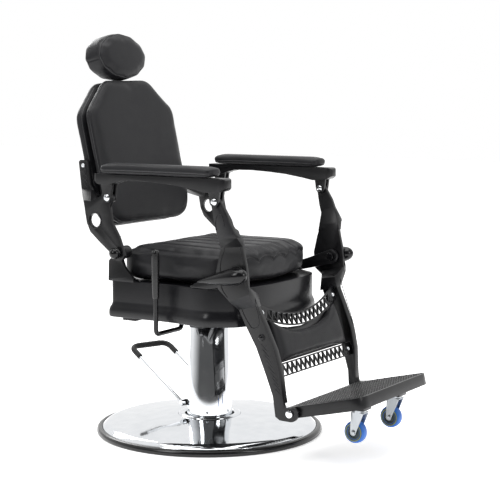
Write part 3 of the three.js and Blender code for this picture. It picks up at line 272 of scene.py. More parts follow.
def moulded_rubber(name="black_moulded_rubber", tone=None, roughness=0.62):
    """Moulded rubber: matt, with a slight bloom in patches and a fine pitted skin."""
    base = linear(tone or colours().rubber)
    material, tree, shader, place = new_material(name, base, roughness, IOR=1.52)
    bloom = node(tree, "ShaderNodeTexNoise", {"Vector": place}, Scale=per_metre(30), Detail=4.0)
    skin = node(tree, "ShaderNodeTexNoise", {"Vector": place}, Scale=per_metre(1.6), Detail=2.0)
    vary_colour(tree, shader, bloom.outputs["Fac"], shade(base, 0.8), shade(base, 1.3))
    vary_roughness(tree, shader, bloom.outputs["Fac"], roughness - 0.1, roughness + 0.12)
    add_bump(tree, shader, skin.outputs["Fac"], 0.0003, 0.3)
    return material


MAKERS = {
    "vinyl": black_vinyl,
    "thread": piping_vinyl,
    "casting": casting_paint,
    "box": box_paint,
    "chrome": chrome_plate,
    "zinc": zinc_plate,
    "steel": lambda: zinc_plate("machined_steel", "#8b8e92"),
    "rubber": moulded_rubber,
    "tread": lambda: moulded_rubber("blue_elastic_tread", colours().tread, 0.42),
    "nylon": lambda: moulded_rubber("grey_moulded_nylon", colours().nylon, 0.5),
    "ring": lambda: moulded_rubber("green_moulded_ring", colours().ring, 0.5),
    "gloss": lambda: casting_paint("gloss_black_casting", 0.14),
    "gloss_rubber": lambda: moulded_rubber("gloss_black_rubber", None, 0.2),
}
FINISH_OF_SLOT = {
    "chrome": "chrome", "bare_steel": "steel", "black_casting": "casting", "black_vinyl": "vinyl",
    "black_box": "box", "black_rubber": "rubber", "zinc": "zinc", "wheel_nylon": "nylon",
    "blue_tread": "tread",
}
_made = {}


def finish(name):
    if name not in _made:
        _made[name] = MAKERS[name]()
    return _made[name]


# ---- Mesh helpers ---------------------------------------------------------------------------------------
def piece_from(bm, name, material, body, smooth_angle=40, replaces=()):
    """Turns a bmesh into a finished piece that rides on a body."""
    mesh = bpy.data.meshes.new(name)
    bm.to_mesh(mesh)
    bm.free()
    piece = bpy.data.objects.new(name, mesh)
    bpy.context.scene.collection.objects.link(piece)
    mesh.materials.append(finish(material))
    smooth(piece, smooth_angle)
    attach(piece, body)
    if replaces:
        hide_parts(*replaces)
    return piece


def smooth(piece, angle):
    piece.data.shade_smooth()
    piece.data.set_sharp_from_angle(angle=math.radians(angle))


def cad_bmesh(name):
    """A copy of a CAD node, with the flat faces whole again."""
    bm = bmesh.new()
    bm.from_mesh(frame["nodes"][name].data)
    bmesh.ops.remove_doubles(bm, verts=bm.verts, dist=2e-5)
    bmesh.ops.dissolve_limit(bm, angle_limit=math.radians(1.5), verts=bm.verts, edges=bm.edges,
                             use_dissolve_boundaries=False)
    return bm


def round_edges(bm, radius, segments=2, angle=28):
    """Bevels every edge sharper than the angle."""
    sharp = [e for e in bm.edges if len(e.link_faces) == 2
             and e.calc_face_angle(0) > math.radians(angle)]
    bmesh.ops.bevel(bm, geom=sharp, offset=radius, offset_type="OFFSET", segments=segments, profile=0.5,
                    affect="EDGES", clamp_overlap=True, material=-1)
    bmesh.ops.remove_doubles(bm, verts=bm.verts, dist=1e-6)


def smoothed_copy(name, material, radius, segments=2, angle=28, smooth_angle=32):
    """A CAD node's copy with rounded edges, standing for that node."""
    bm = cad_bmesh(name)
    round_edges(bm, radius, segments, angle)
    return piece_from(bm, name + "_body", material, BODY_OF[name], smooth_angle, (name,))


def spun(bm, profile, centre, axis, steps):
    """Spins a closed or axis-ended profile of points into bm."""
    verts = [bm.verts.new(p) for p in profile]
    edges = [bm.edges.new((a, b)) for a, b in zip(verts, verts[1:])]
    bmesh.ops.spin(bm, geom=verts + edges, cent=centre, axis=axis, angle=2 * math.pi, steps=steps,
                   use_merge=True, use_duplicate=False)
    bmesh.ops.remove_doubles(bm, verts=bm.verts, dist=1e-6)
    bmesh.ops.recalc_face_normals(bm, faces=bm.faces)


def softened(points, radius, steps=4):
    """[radius, height] points with each inner corner turned into a short curve."""
    points = [Vector(p) for p in points]
    out = [points[0]]
    for before, here, after in zip(points, points[1:], points[2:]):
        reach = min(radius, (before - here).length * 0.45, (after - here).length * 0.45)
        start = here + (before - here).normalized() * reach
        end = here + (after - here).normalized() * reach
        for k in range(steps + 1):
            t = k / steps
            out.append(start.lerp(here, t).lerp(here.lerp(end, t), t))
    return out + [points[-1]]


def turned(name, profile, material, body, replaces=(), centre=(0, 0, 0), axis=(0, 0, 1), steps=None,
           smooth_angle=38):
    """A turned piece from [radius, height] points about an axis through centre."""
    bm = bmesh.new()
    out = Vector((1, 0, 0)) if abs(axis[0]) < 0.5 else Vector((0, 0, 1))
    up = Vector(axis).normalized()
    out = (out - up * out.dot(up)).normalized()
    points = [Vector(centre) + out * r + up * h for r, h in profile]
    spun(bm, points, centre, axis, steps or sizes().turn_steps)
    return piece_from(bm, name, material, body, smooth_angle, replaces)


def swept(bm, points, radius, sides, closed=False, radii=None):
    """A round tube along points, its ends capped unless it is closed on itself."""
    count = len(points)
    rings = []
    side = None
    for i, p in enumerate(points):
        before = points[i - 1] if closed or i else points[0]
        after = points[(i + 1) % count] if closed or i < count - 1 else points[-1]
        along = (after - before).normalized()
        if side is None:
            side = along.orthogonal().normalized()
        side = (side - along * side.dot(along)).normalized()
        turn = Matrix.Translation(p) @ Matrix((side, along.cross(side), along)).transposed().to_4x4()
        made = bmesh.ops.create_circle(bm, segments=sides, radius=radii[i] if radii else radius,
                                       matrix=turn, cap_ends=False)
        rings.append(made["verts"])
    pairs = list(zip(rings, rings[1:])) + ([(rings[-1], rings[0])] if closed else [])
    for low, high in pairs:
        offset = 0
        if closed and low is rings[-1]:
            offset = min(range(sides), key=lambda k: (high[k].co - low[0].co).length)
        for k in range(sides):
            a, b = low[k], low[(k + 1) % sides]
            c, d = high[(k + 1 + offset) % sides], high[(k + offset) % sides]
            bm.faces.new((a, b, c, d))
    if not closed:
        bm.faces.new(list(reversed(rings[0])))
        bm.faces.new(rings[-1])
    bmesh.ops.recalc_face_normals(bm, faces=bm.faces)


def bent(points, radius, steps=8):
    """A path of straight runs whose inner corners are rounded."""
    out = [points[0]]
    for before, here, after in zip(points, points[1:], points[2:]):
        start = here + (before - here).normalized() * radius
        end = here + (after - here).normalized() * radius
        out += [start.lerp(here, k / steps).lerp(here.lerp(end, k / steps), k / steps)
                for k in range(steps + 1)]
    return out + [points[-1]]


def dome_head(bm, centre, axis, radius, height):
    """A low domed bolt head with a washer under it, facing along axis."""
    axis = Vector(axis).normalized()
    turn = Matrix.Translation(centre) @ axis.to_track_quat("Z", "Y").to_matrix().to_4x4()
    bmesh.ops.create_cone(bm, cap_ends=True, segments=24, radius1=radius * 1.25, radius2=radius * 1.2,
                          depth=height * 0.3, matrix=turn @ Matrix.Translation((0, 0, height * 0.15)))
    made = bmesh.ops.create_uvsphere(bm, u_segments=20, v_segments=10, radius=radius,
                                     matrix=turn @ Matrix.Translation((0, 0, height * 0.3))
                                     @ Matrix.Diagonal((1, 1, height * 0.7 / radius, 1)))
    low = [v for v in made["verts"] if (v.co - Vector(centre)).dot(axis) < height * 0.28]
    for v in low:
        v.co += axis * (height * 0.28 - (v.co - Vector(centre)).dot(axis))


def ring_offsets(radius):
    """Pairs of offsets at every tenth degree round a circle."""
    return [(radius * math.cos(math.radians(a)), radius * math.sin(math.radians(a)))
            for a in range(0, 360, 10)]


def held(value):
    """The value, kept between 0 and 1."""
    return max(0.0, min(1.0, value))


# ---- Directions and extents of the leaning back -----------------------------------------------------------
BACK_UP = Vector(JOINT["headrest_height"]["axis"])
BACK_OUT = Vector((1, 0, 0)).cross(BACK_UP)


def extent(name, direction):
    """Lowest and highest distance of a CAD node's points along a direction."""
    along = [v.co.dot(direction) for v in frame["nodes"][name].data.vertices]
    return min(along), max(along)


# ---- Operators ------------------------------------------------------------------------------------------
class CHAIR_OT_stage(bpy.types.Operator):
    """Studio floor, soft lights and the camera"""
    bl_idname = "chair.stage"
    bl_label = "Stage"

    def execute(self, context):
        self.floor()
        self.lights()
        self.camera(context)
        return {"FINISHED"}

    def floor(self):
        material, tree, shader, place = new_material("studio_paper", linear(colours().floor), 0.75)
        fibres = node(tree, "ShaderNodeTexNoise", {"Vector": place}, Scale=per_metre(8), Detail=2.0)
        vary_roughness(tree, shader, fibres.outputs["Fac"], 0.7, 0.85)
        shader.inputs["Specular IOR Level"].default_value = 0.1
        shader.inputs["Emission Color"].default_value = (1, 1, 1, 1)
        shader.inputs["Emission Strength"].default_value = 0.5
        bm = bmesh.new()
        bmesh.ops.create_grid(bm, x_segments=1, y_segments=1, size=14)
        mesh = bpy.data.meshes.new("floor")
        bm.to_mesh(mesh)
        bm.free()
        floor = bpy.data.objects.new("floor", mesh)
        bpy.context.scene.collection.objects.link(floor)
        mesh.materials.append(material)

    def lights(self):
        """A bright studio behind the chair, a dim one in front of it, and soft boxes."""
        world = bpy.data.worlds.new("studio")
        world.use_nodes = True
        tree = world.node_tree
        place = node(tree, "ShaderNodeTexCoord").outputs["Generated"]
        facing = node(tree, "ShaderNodeVectorMath", {0: place}, operation="DOT_PRODUCT")
        facing.inputs[1].default_value = (0.845, 0.535, 0.12)
        bright = node(tree, "ShaderNodeMapRange", {"Value": facing.outputs["Value"]})
        for socket, value in (("From Min", -0.55), ("From Max", 0.35), ("To Min", 0.10), ("To Max", 1.0)):
            bright.inputs[socket].default_value = value
        background = tree.nodes["Background"]
        background.inputs["Color"].default_value = (1, 1, 1, 1)
        tree.links.new(bright.outputs["Result"], background.inputs["Strength"])
        bpy.context.scene.world = world
        bpy.context.scene.view_settings.view_transform = "Standard"
        panels = [  # name, place, aim, width, height, power
            ("top", (-0.3, -0.2, 3.6), (0, 0, 0), 3.4, 3.4, 90),
            ("key", (-2.9, 0.6, 2.3), (0, 0, 0.7), 0.9, 1.6, 24),
            ("front", (-0.6, -3.4, 1.9), (0, -0.1, 0.6), 1.0, 1.8, 26),
            ("rim", (1.2, 2.9, 2.3), (0, 0, 0.8), 1.8, 1.2, 40),
        ]
        for name, place, aim, wide, high, power in panels:
            light = bpy.data.lights.new(name, "AREA")
            light.shape = "RECTANGLE"
            light.size, light.size_y, light.energy = wide, high, power
            lamp = bpy.data.objects.new(name, light)
            lamp.location = place
            lamp.rotation_euler = (Vector(aim) - Vector(place)).to_track_quat("-Z", "Y").to_euler()
            bpy.context.scene.collection.objects.link(lamp)

    def camera(self, context):
        data = bpy.data.cameras.new("camera")
        data.lens = 104.4
        data.sensor_width = 36.0
        camera = bpy.data.objects.new("camera", data)
        camera.location = (-3.674234, -2.478297, 1.086355)
        camera.rotation_euler = (math.radians(83.257), 0.0, math.radians(-57.628))
        context.scene.collection.objects.link(camera)
        context.scene.camera = camera


class CHAIR_OT_base(bpy.types.Operator):
    """Rubber rim, polished dish, collar and column cover of the base"""
    bl_idname = "chair.base"
    bl_label = "Base"

    def execute(self, context):
        rim_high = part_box("base_rim")[1]
        dome_low, dome_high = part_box("base_dome")
        collar_low, collar_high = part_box("column_collar")
        cover_low, cover_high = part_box("column_cover")
        self.rim(rim_high, dome_high)
        self.dish(dome_low, dome_high, collar_high)
        self.collar(collar_low, collar_high)
        self.cover(cover_low, cover_high)
        return {"FINISHED"}

    def rim(self, high, dome_high):
        inner, outer, top = dome_high.x + 0.0004, high.x, high.z
        profile = [(inner, 0), (outer - 0.003, 0), (outer, 0.004), (outer, top * 0.55),
                   (outer - 0.004, top - 0.002), (inner + 0.004, top), (inner, top - 0.002), (inner, 0)]
        turned("base_rim_body", softened(profile, 0.003), "gloss_rubber", "root", ("base_rim",))

    def dish(self, low, high, collar_high):
        outer, neck = high.x, collar_high.x + 0.0004
        bottom, top, wall = low.z, high.z, 0.003
        shoulder = outer - 0.0155
        profile = [(outer - wall, bottom), (outer, bottom), (outer, 0.019), (shoulder + 0.003, 0.0282),
                   (shoulder - 0.006, 0.0308), (neck + 0.1, 0.0432), (neck, top), (neck, top - wall),
                   (shoulder - 0.008, 0.0274), (outer - wall, 0.0175), (outer - wall, bottom)]
        turned("base_dish", softened(profile, 0.0035, 5), "chrome", "root", ("base_dome",), steps=192)

    def collar(self, low, high):
        outer, bottom, top = high.x, low.z, high.z
        inner = outer - 0.0206
        profile = [(inner, bottom), (outer, bottom), (outer, top - 0.004), (outer - 0.004, top),
                   (inner + 0.006, top), (inner, top - 0.003), (inner, bottom)]
        turned("column_collar_body", softened(profile, 0.003), "chrome", "root", ("column_collar",))

    def cover(self, low, high):
        wall, upper_half, ram_gap = 0.0025, 0.35, 0.0004
        lip_outer, lip_top, lip_inner = 0.0574, 0.0560, 0.0548
        profile = [(high.x - wall, low.z), (high.x, low.z), (lip_outer, high.z - 0.002),
                   (lip_top, high.z), (lip_inner, high.z), (high.x - wall, low.z)]
        profile = [(r if z < upper_half else r - ram_gap, z) for r, z in profile]
        turned("column_cover_body", profile, "chrome", "root", ("column_cover",), steps=160)
        screws, first_at, ring, up, slope = 6, 28, 0.0702, 0.068, 0.045
        bm = bmesh.new()
        for k in range(screws):
            turn = math.radians(first_at + 360 / screws * k)
            out = Vector((math.cos(turn), math.sin(turn), slope)).normalized()
            place = Vector((math.cos(turn) * ring, math.sin(turn) * ring, up))
            dome_head(bm, place, out, 0.0032, 0.002)
        piece_from(bm, "cover_screws", "zinc", "root")


PEDAL_ROD, PEDAL_BEND, PEDAL_HALF = 0.0055, 0.03, 0.070  # rod radius, bend radius, half the width
SLEEVE, SLEEVE_TAIL = 0.009, 0.063  # sleeve radius, and how far it reaches down each side
RAM_BODY, RAM_PIN, RAM_FLANGE = 0.0236, 0.016, 0.008  # radii of the body and pin, thickness of the flange


class CHAIR_OT_pump(bpy.types.Operator):
    """Foot pump pedal, its rubber sleeve and bushes, the cylinder and the ram"""
    bl_idname = "chair.pump"
    bl_label = "Pump"

    def execute(self, context):
        joint = JOINT["pedal_press"]
        pivot = Vector(joint["pos_m"])
        across = Vector(joint["axis"]).normalized()
        level = Vector((0, 0, 1)).cross(across)
        points = [v.co for v in frame["nodes"]["pedal_frame"].data.vertices]
        top = max(p.z for p in points) - PEDAL_ROD
        reach = max((p - pivot).dot(level) for p in points) - PEDAL_ROD
        slope = Vector((level.x * reach, level.y * reach, top - pivot.z))
        near, far = pivot - across * PEDAL_HALF, pivot + across * PEDAL_HALF
        corners = [near, near + slope, far + slope, far]
        self.rod(corners, pivot, across)
        self.sleeve(corners)
        for side in SIDES:
            smoothed_copy("pedal_bush_" + side, "rubber", 0.0006)
        smoothed_copy("pump_cylinder", "steel", 0.001, angle=40)
        self.ram()
        return {"FINISHED"}

    def rod(self, corners, pivot, across):
        bm = bmesh.new()
        swept(bm, bent(corners, PEDAL_BEND), PEDAL_ROD, 20)
        swept(bm, [corners[0], corners[-1]], PEDAL_ROD, 20)
        boss = 0.0096
        for sign in (-1, 1):
            out = across * sign
            ends = [pivot + out * (PEDAL_HALF + along) for along in (-0.0065, -0.0055, 0.006, 0.007)]
            swept(bm, ends, boss, 24, radii=[0.0088, boss, boss, 0.0086])
        piece_from(bm, "pedal_rod", "chrome", "pedal", 35, ("pedal_frame",))

    def sleeve(self, corners):
        near, far = corners[1], corners[2]
        start = near + (corners[0] - near).normalized() * SLEEVE_TAIL
        end = far + (corners[3] - far).normalized() * SLEEVE_TAIL
        path = bent([start, near, far, end], PEDAL_BEND, 10)
        spacing, ribbed_share, rib = 0.003, 0.42, 0.0009
        dense = []
        for a, b in zip(path, path[1:]):
            steps = max(1, int((b - a).length / spacing))
            dense += [a.lerp(b, k / steps) for k in range(steps)]
        dense.append(path[-1])
        radii = []
        middle = len(dense) / 2
        for i in range(len(dense)):
            ribbed = abs(i - middle) < middle * ribbed_share
            radii.append(SLEEVE + (rib if ribbed and i % 2 else 0.0))
        radii[0] = radii[-1] = 0.0078
        bm = bmesh.new()
        swept(bm, dense, SLEEVE, 22, radii=radii)
        piece_from(bm, "pedal_sleeve_body", "rubber", "pedal", 50, ("pedal_sleeve",))

    def ram(self):
        low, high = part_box("ram")
        flange = high.x
        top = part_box("swivel_bearing")[0].z - 0.0004
        profile = [(0, low.z), (RAM_BODY - 0.001, low.z), (RAM_BODY, low.z + 0.001),
                   (RAM_BODY, top - RAM_FLANGE), (flange, top - RAM_FLANGE), (flange, top), (RAM_PIN, top),
                   (RAM_PIN, high.z), (0, high.z)]
        turned("ram_body", profile, "chrome", "lift", ("ram",), steps=72)
        smoothed_copy("swivel_bearing", "steel", 0.0006, angle=40)


class CHAIR_OT_castings(bpy.types.Operator):
    """Brackets, arm frames, leg castings, ears, pivots and other black castings"""
    bl_idname = "chair.castings"
    bl_label = "Castings"

    def execute(self, context):
        edge = sizes().casting_edge
        for side in SIDES:
            smoothed_copy("back_bracket_" + side, "casting", edge)
            smoothed_copy("leg_casting_" + side, "casting", edge)
            smoothed_copy("arm_frame_" + side, "casting", edge * 1.6, 3)
            smoothed_copy("rear_ear_" + side, "casting", edge)
            smoothed_copy("front_ear_" + side, "casting", edge)
            self.pivots(side)
            self.leg_relief(side)
            self.bracket_relief(side)
            for which in ("arm_rear_bolt_", "arm_front_bolt_", "footrest_bolt_"):
                smoothed_copy(which + side, "chrome", 0.0008)
        smoothed_copy("filigree_top", "casting", 0.0008)
        smoothed_copy("filigree_bottom", "casting", 0.0008)
        smoothed_copy("headrest_socket", "casting", 0.001)
        smoothed_copy("headrest_post", "chrome", 0.0012, 3)
        smoothed_copy("lever_bearing", "casting", 0.001)
        smoothed_copy("seat_frame", "casting", 0.001)
        smoothed_copy("base_plate", "steel", 0.0008, angle=40)
        return {"FINISHED"}

    def pivots(self, side):
        sign = SIGN[side]
        rear = Vector(JOINT["recline"]["pos_m"])
        low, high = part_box("rear_pivot_" + side)
        outer, inner = (high.x, low.x) if sign > 0 else (low.x, high.x)
        ball, neck, nut, nut_deep = 0.017, 0.008, 0.013, 0.008
        bm = bmesh.new()
        bmesh.ops.create_uvsphere(bm, u_segments=40, v_segments=24, radius=ball,
                                  matrix=Matrix.Translation((outer - sign * ball, rear.y, rear.z)))
        for end, radius, sides in ((outer - sign * ball, neck, 24), (inner + sign * nut_deep, nut, 6)):
            swept(bm, [Vector((inner, rear.y, rear.z)), Vector((end, rear.y, rear.z))], radius, sides)
        piece_from(bm, f"rear_pivot_{side}_body", "gloss", "seat", 45, (f"rear_pivot_{side}",))
        bm = cad_bmesh("front_pivot_" + side)
        round_edges(bm, 0.0008, 1, 60)
        piece = piece_from(bm, f"front_pivot_{side}_body", "gloss", "seat", 65, (f"front_pivot_{side}",))
        subdivide(piece, 2)

    def leg_relief(self, side):
        """Raised lines and a lattice cast into the outer face of the leg casting."""
        sign = SIGN[side]
        pivot = Vector(JOINT["legrest_swing"]["pos_m"])
        tongue = max(abs(v.co.x) for v in frame["nodes"]["leg_casting_" + side].data.vertices)
        plate = tongue - PLATE_STEP
        bm = bmesh.new()

        def on_rail(y, up):
            return on_face(pivot, sign, rail_face(pivot.z + up * MM), y, up)

        for face, points in ((tongue, TONGUE_LINE), (plate, PLATE_REAR_LINE), (plate, PLATE_FRONT_LINE)):
            swept(bm, eased([on_face(pivot, sign, face, y, up) for y, up in points]), 0.0011, 8)
        swept(bm, eased([on_rail(y, up) for y, up in RAIL_PANEL_LINE]), 0.0012, 8)
        swept(bm, eased([on_rail(y, up) for y, up in RAIL_FRONT_LINE]), 0.0010, 8)
        lattice(bm, on_rail, 9, (-62, -205), (-44, -128), 9, 0.0010)
        for radius in (0.027, 0.020):
            ring = [on_face(pivot, sign, plate, y, up) for y, up in ring_offsets(radius / MM)]
            swept(bm, ring, 0.0012, 8, closed=True)
        piece_from(bm, "leg_relief_" + side, "casting", "legrest", 60)

    def bracket_relief(self, side):
        """The rim of the bracket's hole, and the line and lattice cast into its outer flange."""
        sign = SIGN[side]
        arm = Vector(JOINT["arm_level_" + side]["pos_m"])
        across = [abs(v.co.x) for v in frame["nodes"]["back_bracket_" + side].data.vertices]
        flange = min(across) + BRACKET_THICK
        hole = Vector((sign * max(across), arm.y + HOLE_BEHIND, arm.z - HOLE_BELOW))
        bm = bmesh.new()
        rim = [hole + Vector((0, y, up)) for y, up in ring_offsets(HOLE_RIM)]
        swept(bm, rim, 0.0018, 10, closed=True)

        def on_flange(y, up):
            return on_face(arm, sign, flange, y, up)

        swept(bm, eased([on_flange(y, up) for y, up in BRACKET_EDGE_LINE]), 0.0013, 8)
        lattice(bm, on_flange, 4, (143, 22), (11, 58), 8, 0.0011)
        piece_from(bm, "bracket_relief_" + side, "casting", "back", 60)


# Lines cast into the outer faces, in millimetres behind and above a pivot. Those of the tongue, the plate
# below it and the rail start from the leg rest's pivot, and the bracket's from the arm's rear pivot.
TONGUE_LINE = ((54, 128), (57, 149), (53, 167), (43, 175), (34, 168), (29, 152), (26, 137))
PLATE_REAR_LINE = ((40, 88), (44, 66), (53, 42), (56, 12), (52, -36), (32, -64))
PLATE_FRONT_LINE = ((-8, 96), (-16, 60), (-24, 28), (-31, -2), (-38, -32), (-40, -48))
RAIL_PANEL_LINE = ((16, -80), (1, -116), (-18, -146), (-30, -152), (-44, -146), (-49, -128), (-42, -96),
                   (-36, -76))
RAIL_FRONT_LINE = ((-38, -62), (-48, -92), (-72, -150), (-95, -212), (-108, -270), (-113, -338))
BRACKET_EDGE_LINE = ((122, 10), (130, 30), (136, 62), (140, 94), (146, 98), (164, 98), (168, 94))
PLATE_STEP = 0.022  # how far the plate stands inside the tongue
BRACKET_THICK = 0.012  # thickness of the bracket's flange
HOLE_BEHIND, HOLE_BELOW = 0.052, 0.070  # the bracket's hole from the arm's rear pivot
HOLE_RIM = 0.0235  # radius of the hole's raised rim
RAIL_TOP, RAIL_TOP_BELOW = 0.245, 0.113  # the rails' outer faces start here, this far below the pivot
RAIL_DRAW = 0.0735  # how much the rails draw in per metre going down


def rail_face(z):
    """How far out the rails' outer faces stand at a height."""
    return RAIL_TOP + RAIL_DRAW * (z - JOINT["legrest_swing"]["pos_m"][2] + RAIL_TOP_BELOW)


def on_face(pivot, sign, face, y, up):
    """A point on an outer face, y and up millimetres behind and above a pivot."""
    return Vector((sign * face, pivot.y + y * MM, pivot.z + up * MM))


def lattice(bm, place, crosses, first, run, half, radius):
    """Crosses in a row from the first place along the run. All but the radius are millimetres."""
    for i in range(crosses):
        t = i / (crosses - 1)
        y, up = first[0] + run[0] * t, first[1] + run[1] * t
        for lean in (-1, 1):
            swept(bm, [place(y + s * half * lean, up + s * half) for s in (-1, 1)], radius, 6)


def eased(points, steps=6):
    """A smooth path through the points."""
    out = []
    ends = [points[0]] + list(points) + [points[-1]]
    for a, b, c, d in zip(ends, ends[1:], ends[2:], ends[3:]):
        for k in range(steps):
            t = k / steps
            out.append(0.5 * (2 * b + (c - a) * t + (2 * a - 5 * b + 4 * c - d) * t * t
                              + (3 * b - a - 3 * c + d) * t ** 3))
    return out + [points[-1]]


def subdivide(piece, levels):
    modifier = piece.modifiers.new("smooth", "SUBSURF")
    modifier.levels = modifier.render_levels = levels


class CHAIR_OT_seat_box(bpy.types.Operator):
    """Lacquered seat box with its moulding"""
    bl_idname = "chair.seat_box"
    bl_label = "Seat box"

    def execute(self, context):
        smoothed_copy("seat_box", "box", 0.0012, 2, 40, 50)
        return {"FINISHED"}


# ---- Upholstery -----------------------------------------------------------------------------------------
def cover_mesh(name, source, shrink, voxel):
    """A remeshed copy of a CAD pad, drawn in from its block so that the cover can swell."""
    bm = cad_bmesh(source)
    bmesh.ops.recalc_face_normals(bm, faces=bm.faces)
    mesh = bpy.data.meshes.new(name)
    bm.to_mesh(mesh)
    bm.free()
    piece = bpy.data.objects.new(name, mesh)
    bpy.context.scene.collection.objects.link(piece)
    remesh = piece.modifiers.new("remesh", "REMESH")
    remesh.mode = "VOXEL"
    remesh.voxel_size = voxel
    bake_modifiers(piece)
    normals = [v.normal.copy() for v in piece.data.vertices]
    for v, n in zip(piece.data.vertices, normals):
        v.co -= n * shrink
    return piece


def bake_modifiers(piece):
    """Puts the result of the piece's modifiers into its mesh."""
    bpy.context.view_layer.update()
    shown = piece.evaluated_get(bpy.context.evaluated_depsgraph_get())
    baked = bpy.data.meshes.new_from_object(shown)
    piece.modifiers.clear()
    piece.data = baked


PRESSURE, STIFFNESS, BENDING, FRAMES = 4.0, 18, 0.6, 20  # of the cloth simulation


def inflate(piece, cap):
    """Swells the cover with Cloth pressure, and keeps each point within the cap of where it began."""
    start = [v.co.copy() for v in piece.data.vertices]
    cloth = piece.modifiers.new("cover", "CLOTH")
    cloth.settings.use_pressure = True
    cloth.settings.uniform_pressure_force = PRESSURE
    cloth.settings.tension_stiffness = cloth.settings.compression_stiffness = STIFFNESS
    cloth.settings.bending_stiffness = BENDING
    cloth.settings.effector_weights.gravity = 0
    cloth.collision_settings.use_collision = False
    scene = bpy.context.scene
    for number in range(1, FRAMES + 1):
        scene.frame_set(number)
    bake_modifiers(piece)
    scene.frame_set(1)
    for v, s in zip(piece.data.vertices, start):
        moved = v.co - s
        if moved.length > cap:
            v.co = s + moved.normalized() * cap


def relax(piece, rounds):
    """Evens the cover out."""
    bm = bmesh.new()
    bm.from_mesh(piece.data)
    for _ in range(rounds):
        bmesh.ops.smooth_vert(bm, verts=bm.verts, factor=0.5, use_axis_x=True, use_axis_y=True,
                              use_axis_z=True)
    bm.to_mesh(piece.data)
    bm.free()


def fit_to(piece, source, axes):
    """Stretches or shrinks a cover to reach exactly as far as its block along each axis."""
    for axis in axes:
        low, high = extent(source, axis)
        along = [v.co.dot(axis) for v in piece.data.vertices]
        start = min(along)
        grow = (high - low) / (max(along) - start)
        for v, here in zip(piece.data.vertices, along):
            v.co += axis * (low + (here - start) * grow - here)


LEVEL_AXES = (Vector((1, 0, 0)), Vector((0, 1, 0)), Vector((0, 0, 1)))
BACK_AXES = (Vector((1, 0, 0)), BACK_UP, BACK_OUT)


def padded(name, source, body, swell, shape=None, voxel=None, axes=LEVEL_AXES):
    """A stuffed cover: remeshed, inflated, then shaped by its seams."""
    piece = cover_mesh(name, source, swell * 0.35, voxel or sizes().voxel)
    inflate(piece, swell)
    relax(piece, 9)
    subdivide(piece, 1)
    bake_modifiers(piece)
    fit_to(piece, source, axes)
    if shape:
        for v in piece.data.vertices:
            v.co = shape(v.co.copy())
    finish_cover(piece, body, (source,))
    return piece


def finish_cover(piece, body, replaces):
    piece.data.materials.clear()
    piece.data.materials.append(finish("vinyl"))
    piece.data.shade_smooth()
    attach(piece, body)
    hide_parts(*replaces)


def groove(distance, width):
    """1 in the middle of a sewn groove, falling to 0 at its width."""
    t = abs(distance) / width
    return math.exp(-t * t * 2.5)


OUTLINE_POINTS = 160


def outline_points(source, height, up):
    """Evenly spaced points round a pad's CAD solid at one height along up."""
    bm = cad_bmesh(source)
    made = bmesh.ops.bisect_plane(bm, geom=bm.verts[:] + bm.edges[:] + bm.faces[:],
                                  plane_co=Vector(up) * height, plane_no=up, dist=1e-6)
    cut_verts = [g for g in made["geom_cut"] if isinstance(g, bmesh.types.BMVert)]
    points = [v.co.copy() for v in cut_verts]
    bm.free()
    centre = sum(points, Vector()) / len(points)
    across = Vector((1, 0, 0))
    other = Vector(up).cross(across)
    points.sort(key=lambda p: math.atan2((p - centre).dot(other), (p - centre).dot(across)))
    closed = points + [points[0]]
    total = sum((b - a).length for a, b in zip(closed, closed[1:]))
    out, walked, i = [], 0.0, 0
    for k in range(OUTLINE_POINTS):
        target = total * k / OUTLINE_POINTS
        while walked + (closed[i + 1] - closed[i]).length < target:
            walked += (closed[i + 1] - closed[i]).length
            i += 1
        step = (closed[i + 1] - closed[i]).length or 1.0
        out.append(closed[i].lerp(closed[i + 1], (target - walked) / step))
    return out


def piping(name, points, body, cover, radius=None):
    """A piped seam that lies on its cover along a closed run of points."""
    mesh = cover.data
    skin = BVHTree.FromPolygons([v.co for v in mesh.vertices], [f.vertices for f in mesh.polygons])
    points = [skin.find_nearest(p)[0] for p in points]
    for _ in range(4):
        points = [(points[i - 1] + 2 * p + points[(i + 1) % len(points)]) / 4
                  for i, p in enumerate(points)]
    bm = bmesh.new()
    swept(bm, points, radius or sizes().piping, 10, closed=True)
    return piece_from(bm, name, "thread", body, 60)


class CHAIR_OT_seat_cushion(bpy.types.Operator):
    """Seat cushion with channels sewn from front to back, and a seam drawn in round its sides"""
    bl_idname = "chair.seat_cushion"
    bl_label = "Seat cushion"

    def execute(self, context):
        low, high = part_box("seat_cushion")
        pitch, depth = sizes().channel_pitch, sizes().channel_depth
        half = (high.x - low.x) / 2
        top = high.z
        middle = (low.y + high.y) / 2

        def shape(p):
            rise = held((p.z - (top - 0.030)) / 0.022)
            edge = max(abs(p.x) / half, (p.y - middle) / (high.y - middle))
            inside = held((0.95 - edge) / 0.16)
            fan = 1 + 0.10 * (middle - p.y) / (high.y - middle)
            across = p.x / (pitch * fan) + 0.5
            offset = (across - round(across)) * pitch
            p.z -= rise * inside * depth * groove(offset, 0.010)
            p.z -= rise * 0.013 * max(0.0, edge) ** 4
            p.z += 0.0016 * rise * noise.noise(Vector((p.x * 9, p.y * 5, 3.1)))
            front = held((low.y + 0.085 - p.y) / 0.06) * inside
            scallop = abs(math.cos(math.pi * across))
            drop = front * (0.010 + 0.012 * (1 - abs(math.sin(math.pi * across))))
            seam = top - 0.020 - drop
            level = Vector((p.x, p.y - middle, 0)).normalized()
            p -= level * 0.0034 * groove(p.z - seam, 0.005)
            puff = held((p.z - seam) / 0.006) * held((top - p.z) / 0.012)
            p += level * 0.0030 * front * puff * scallop
            p.z = max(p.z, low.z)
            return p

        padded("seat_cushion_cover", "seat_cushion", "seat", sizes().seat_swell, shape)
        return {"FINISHED"}


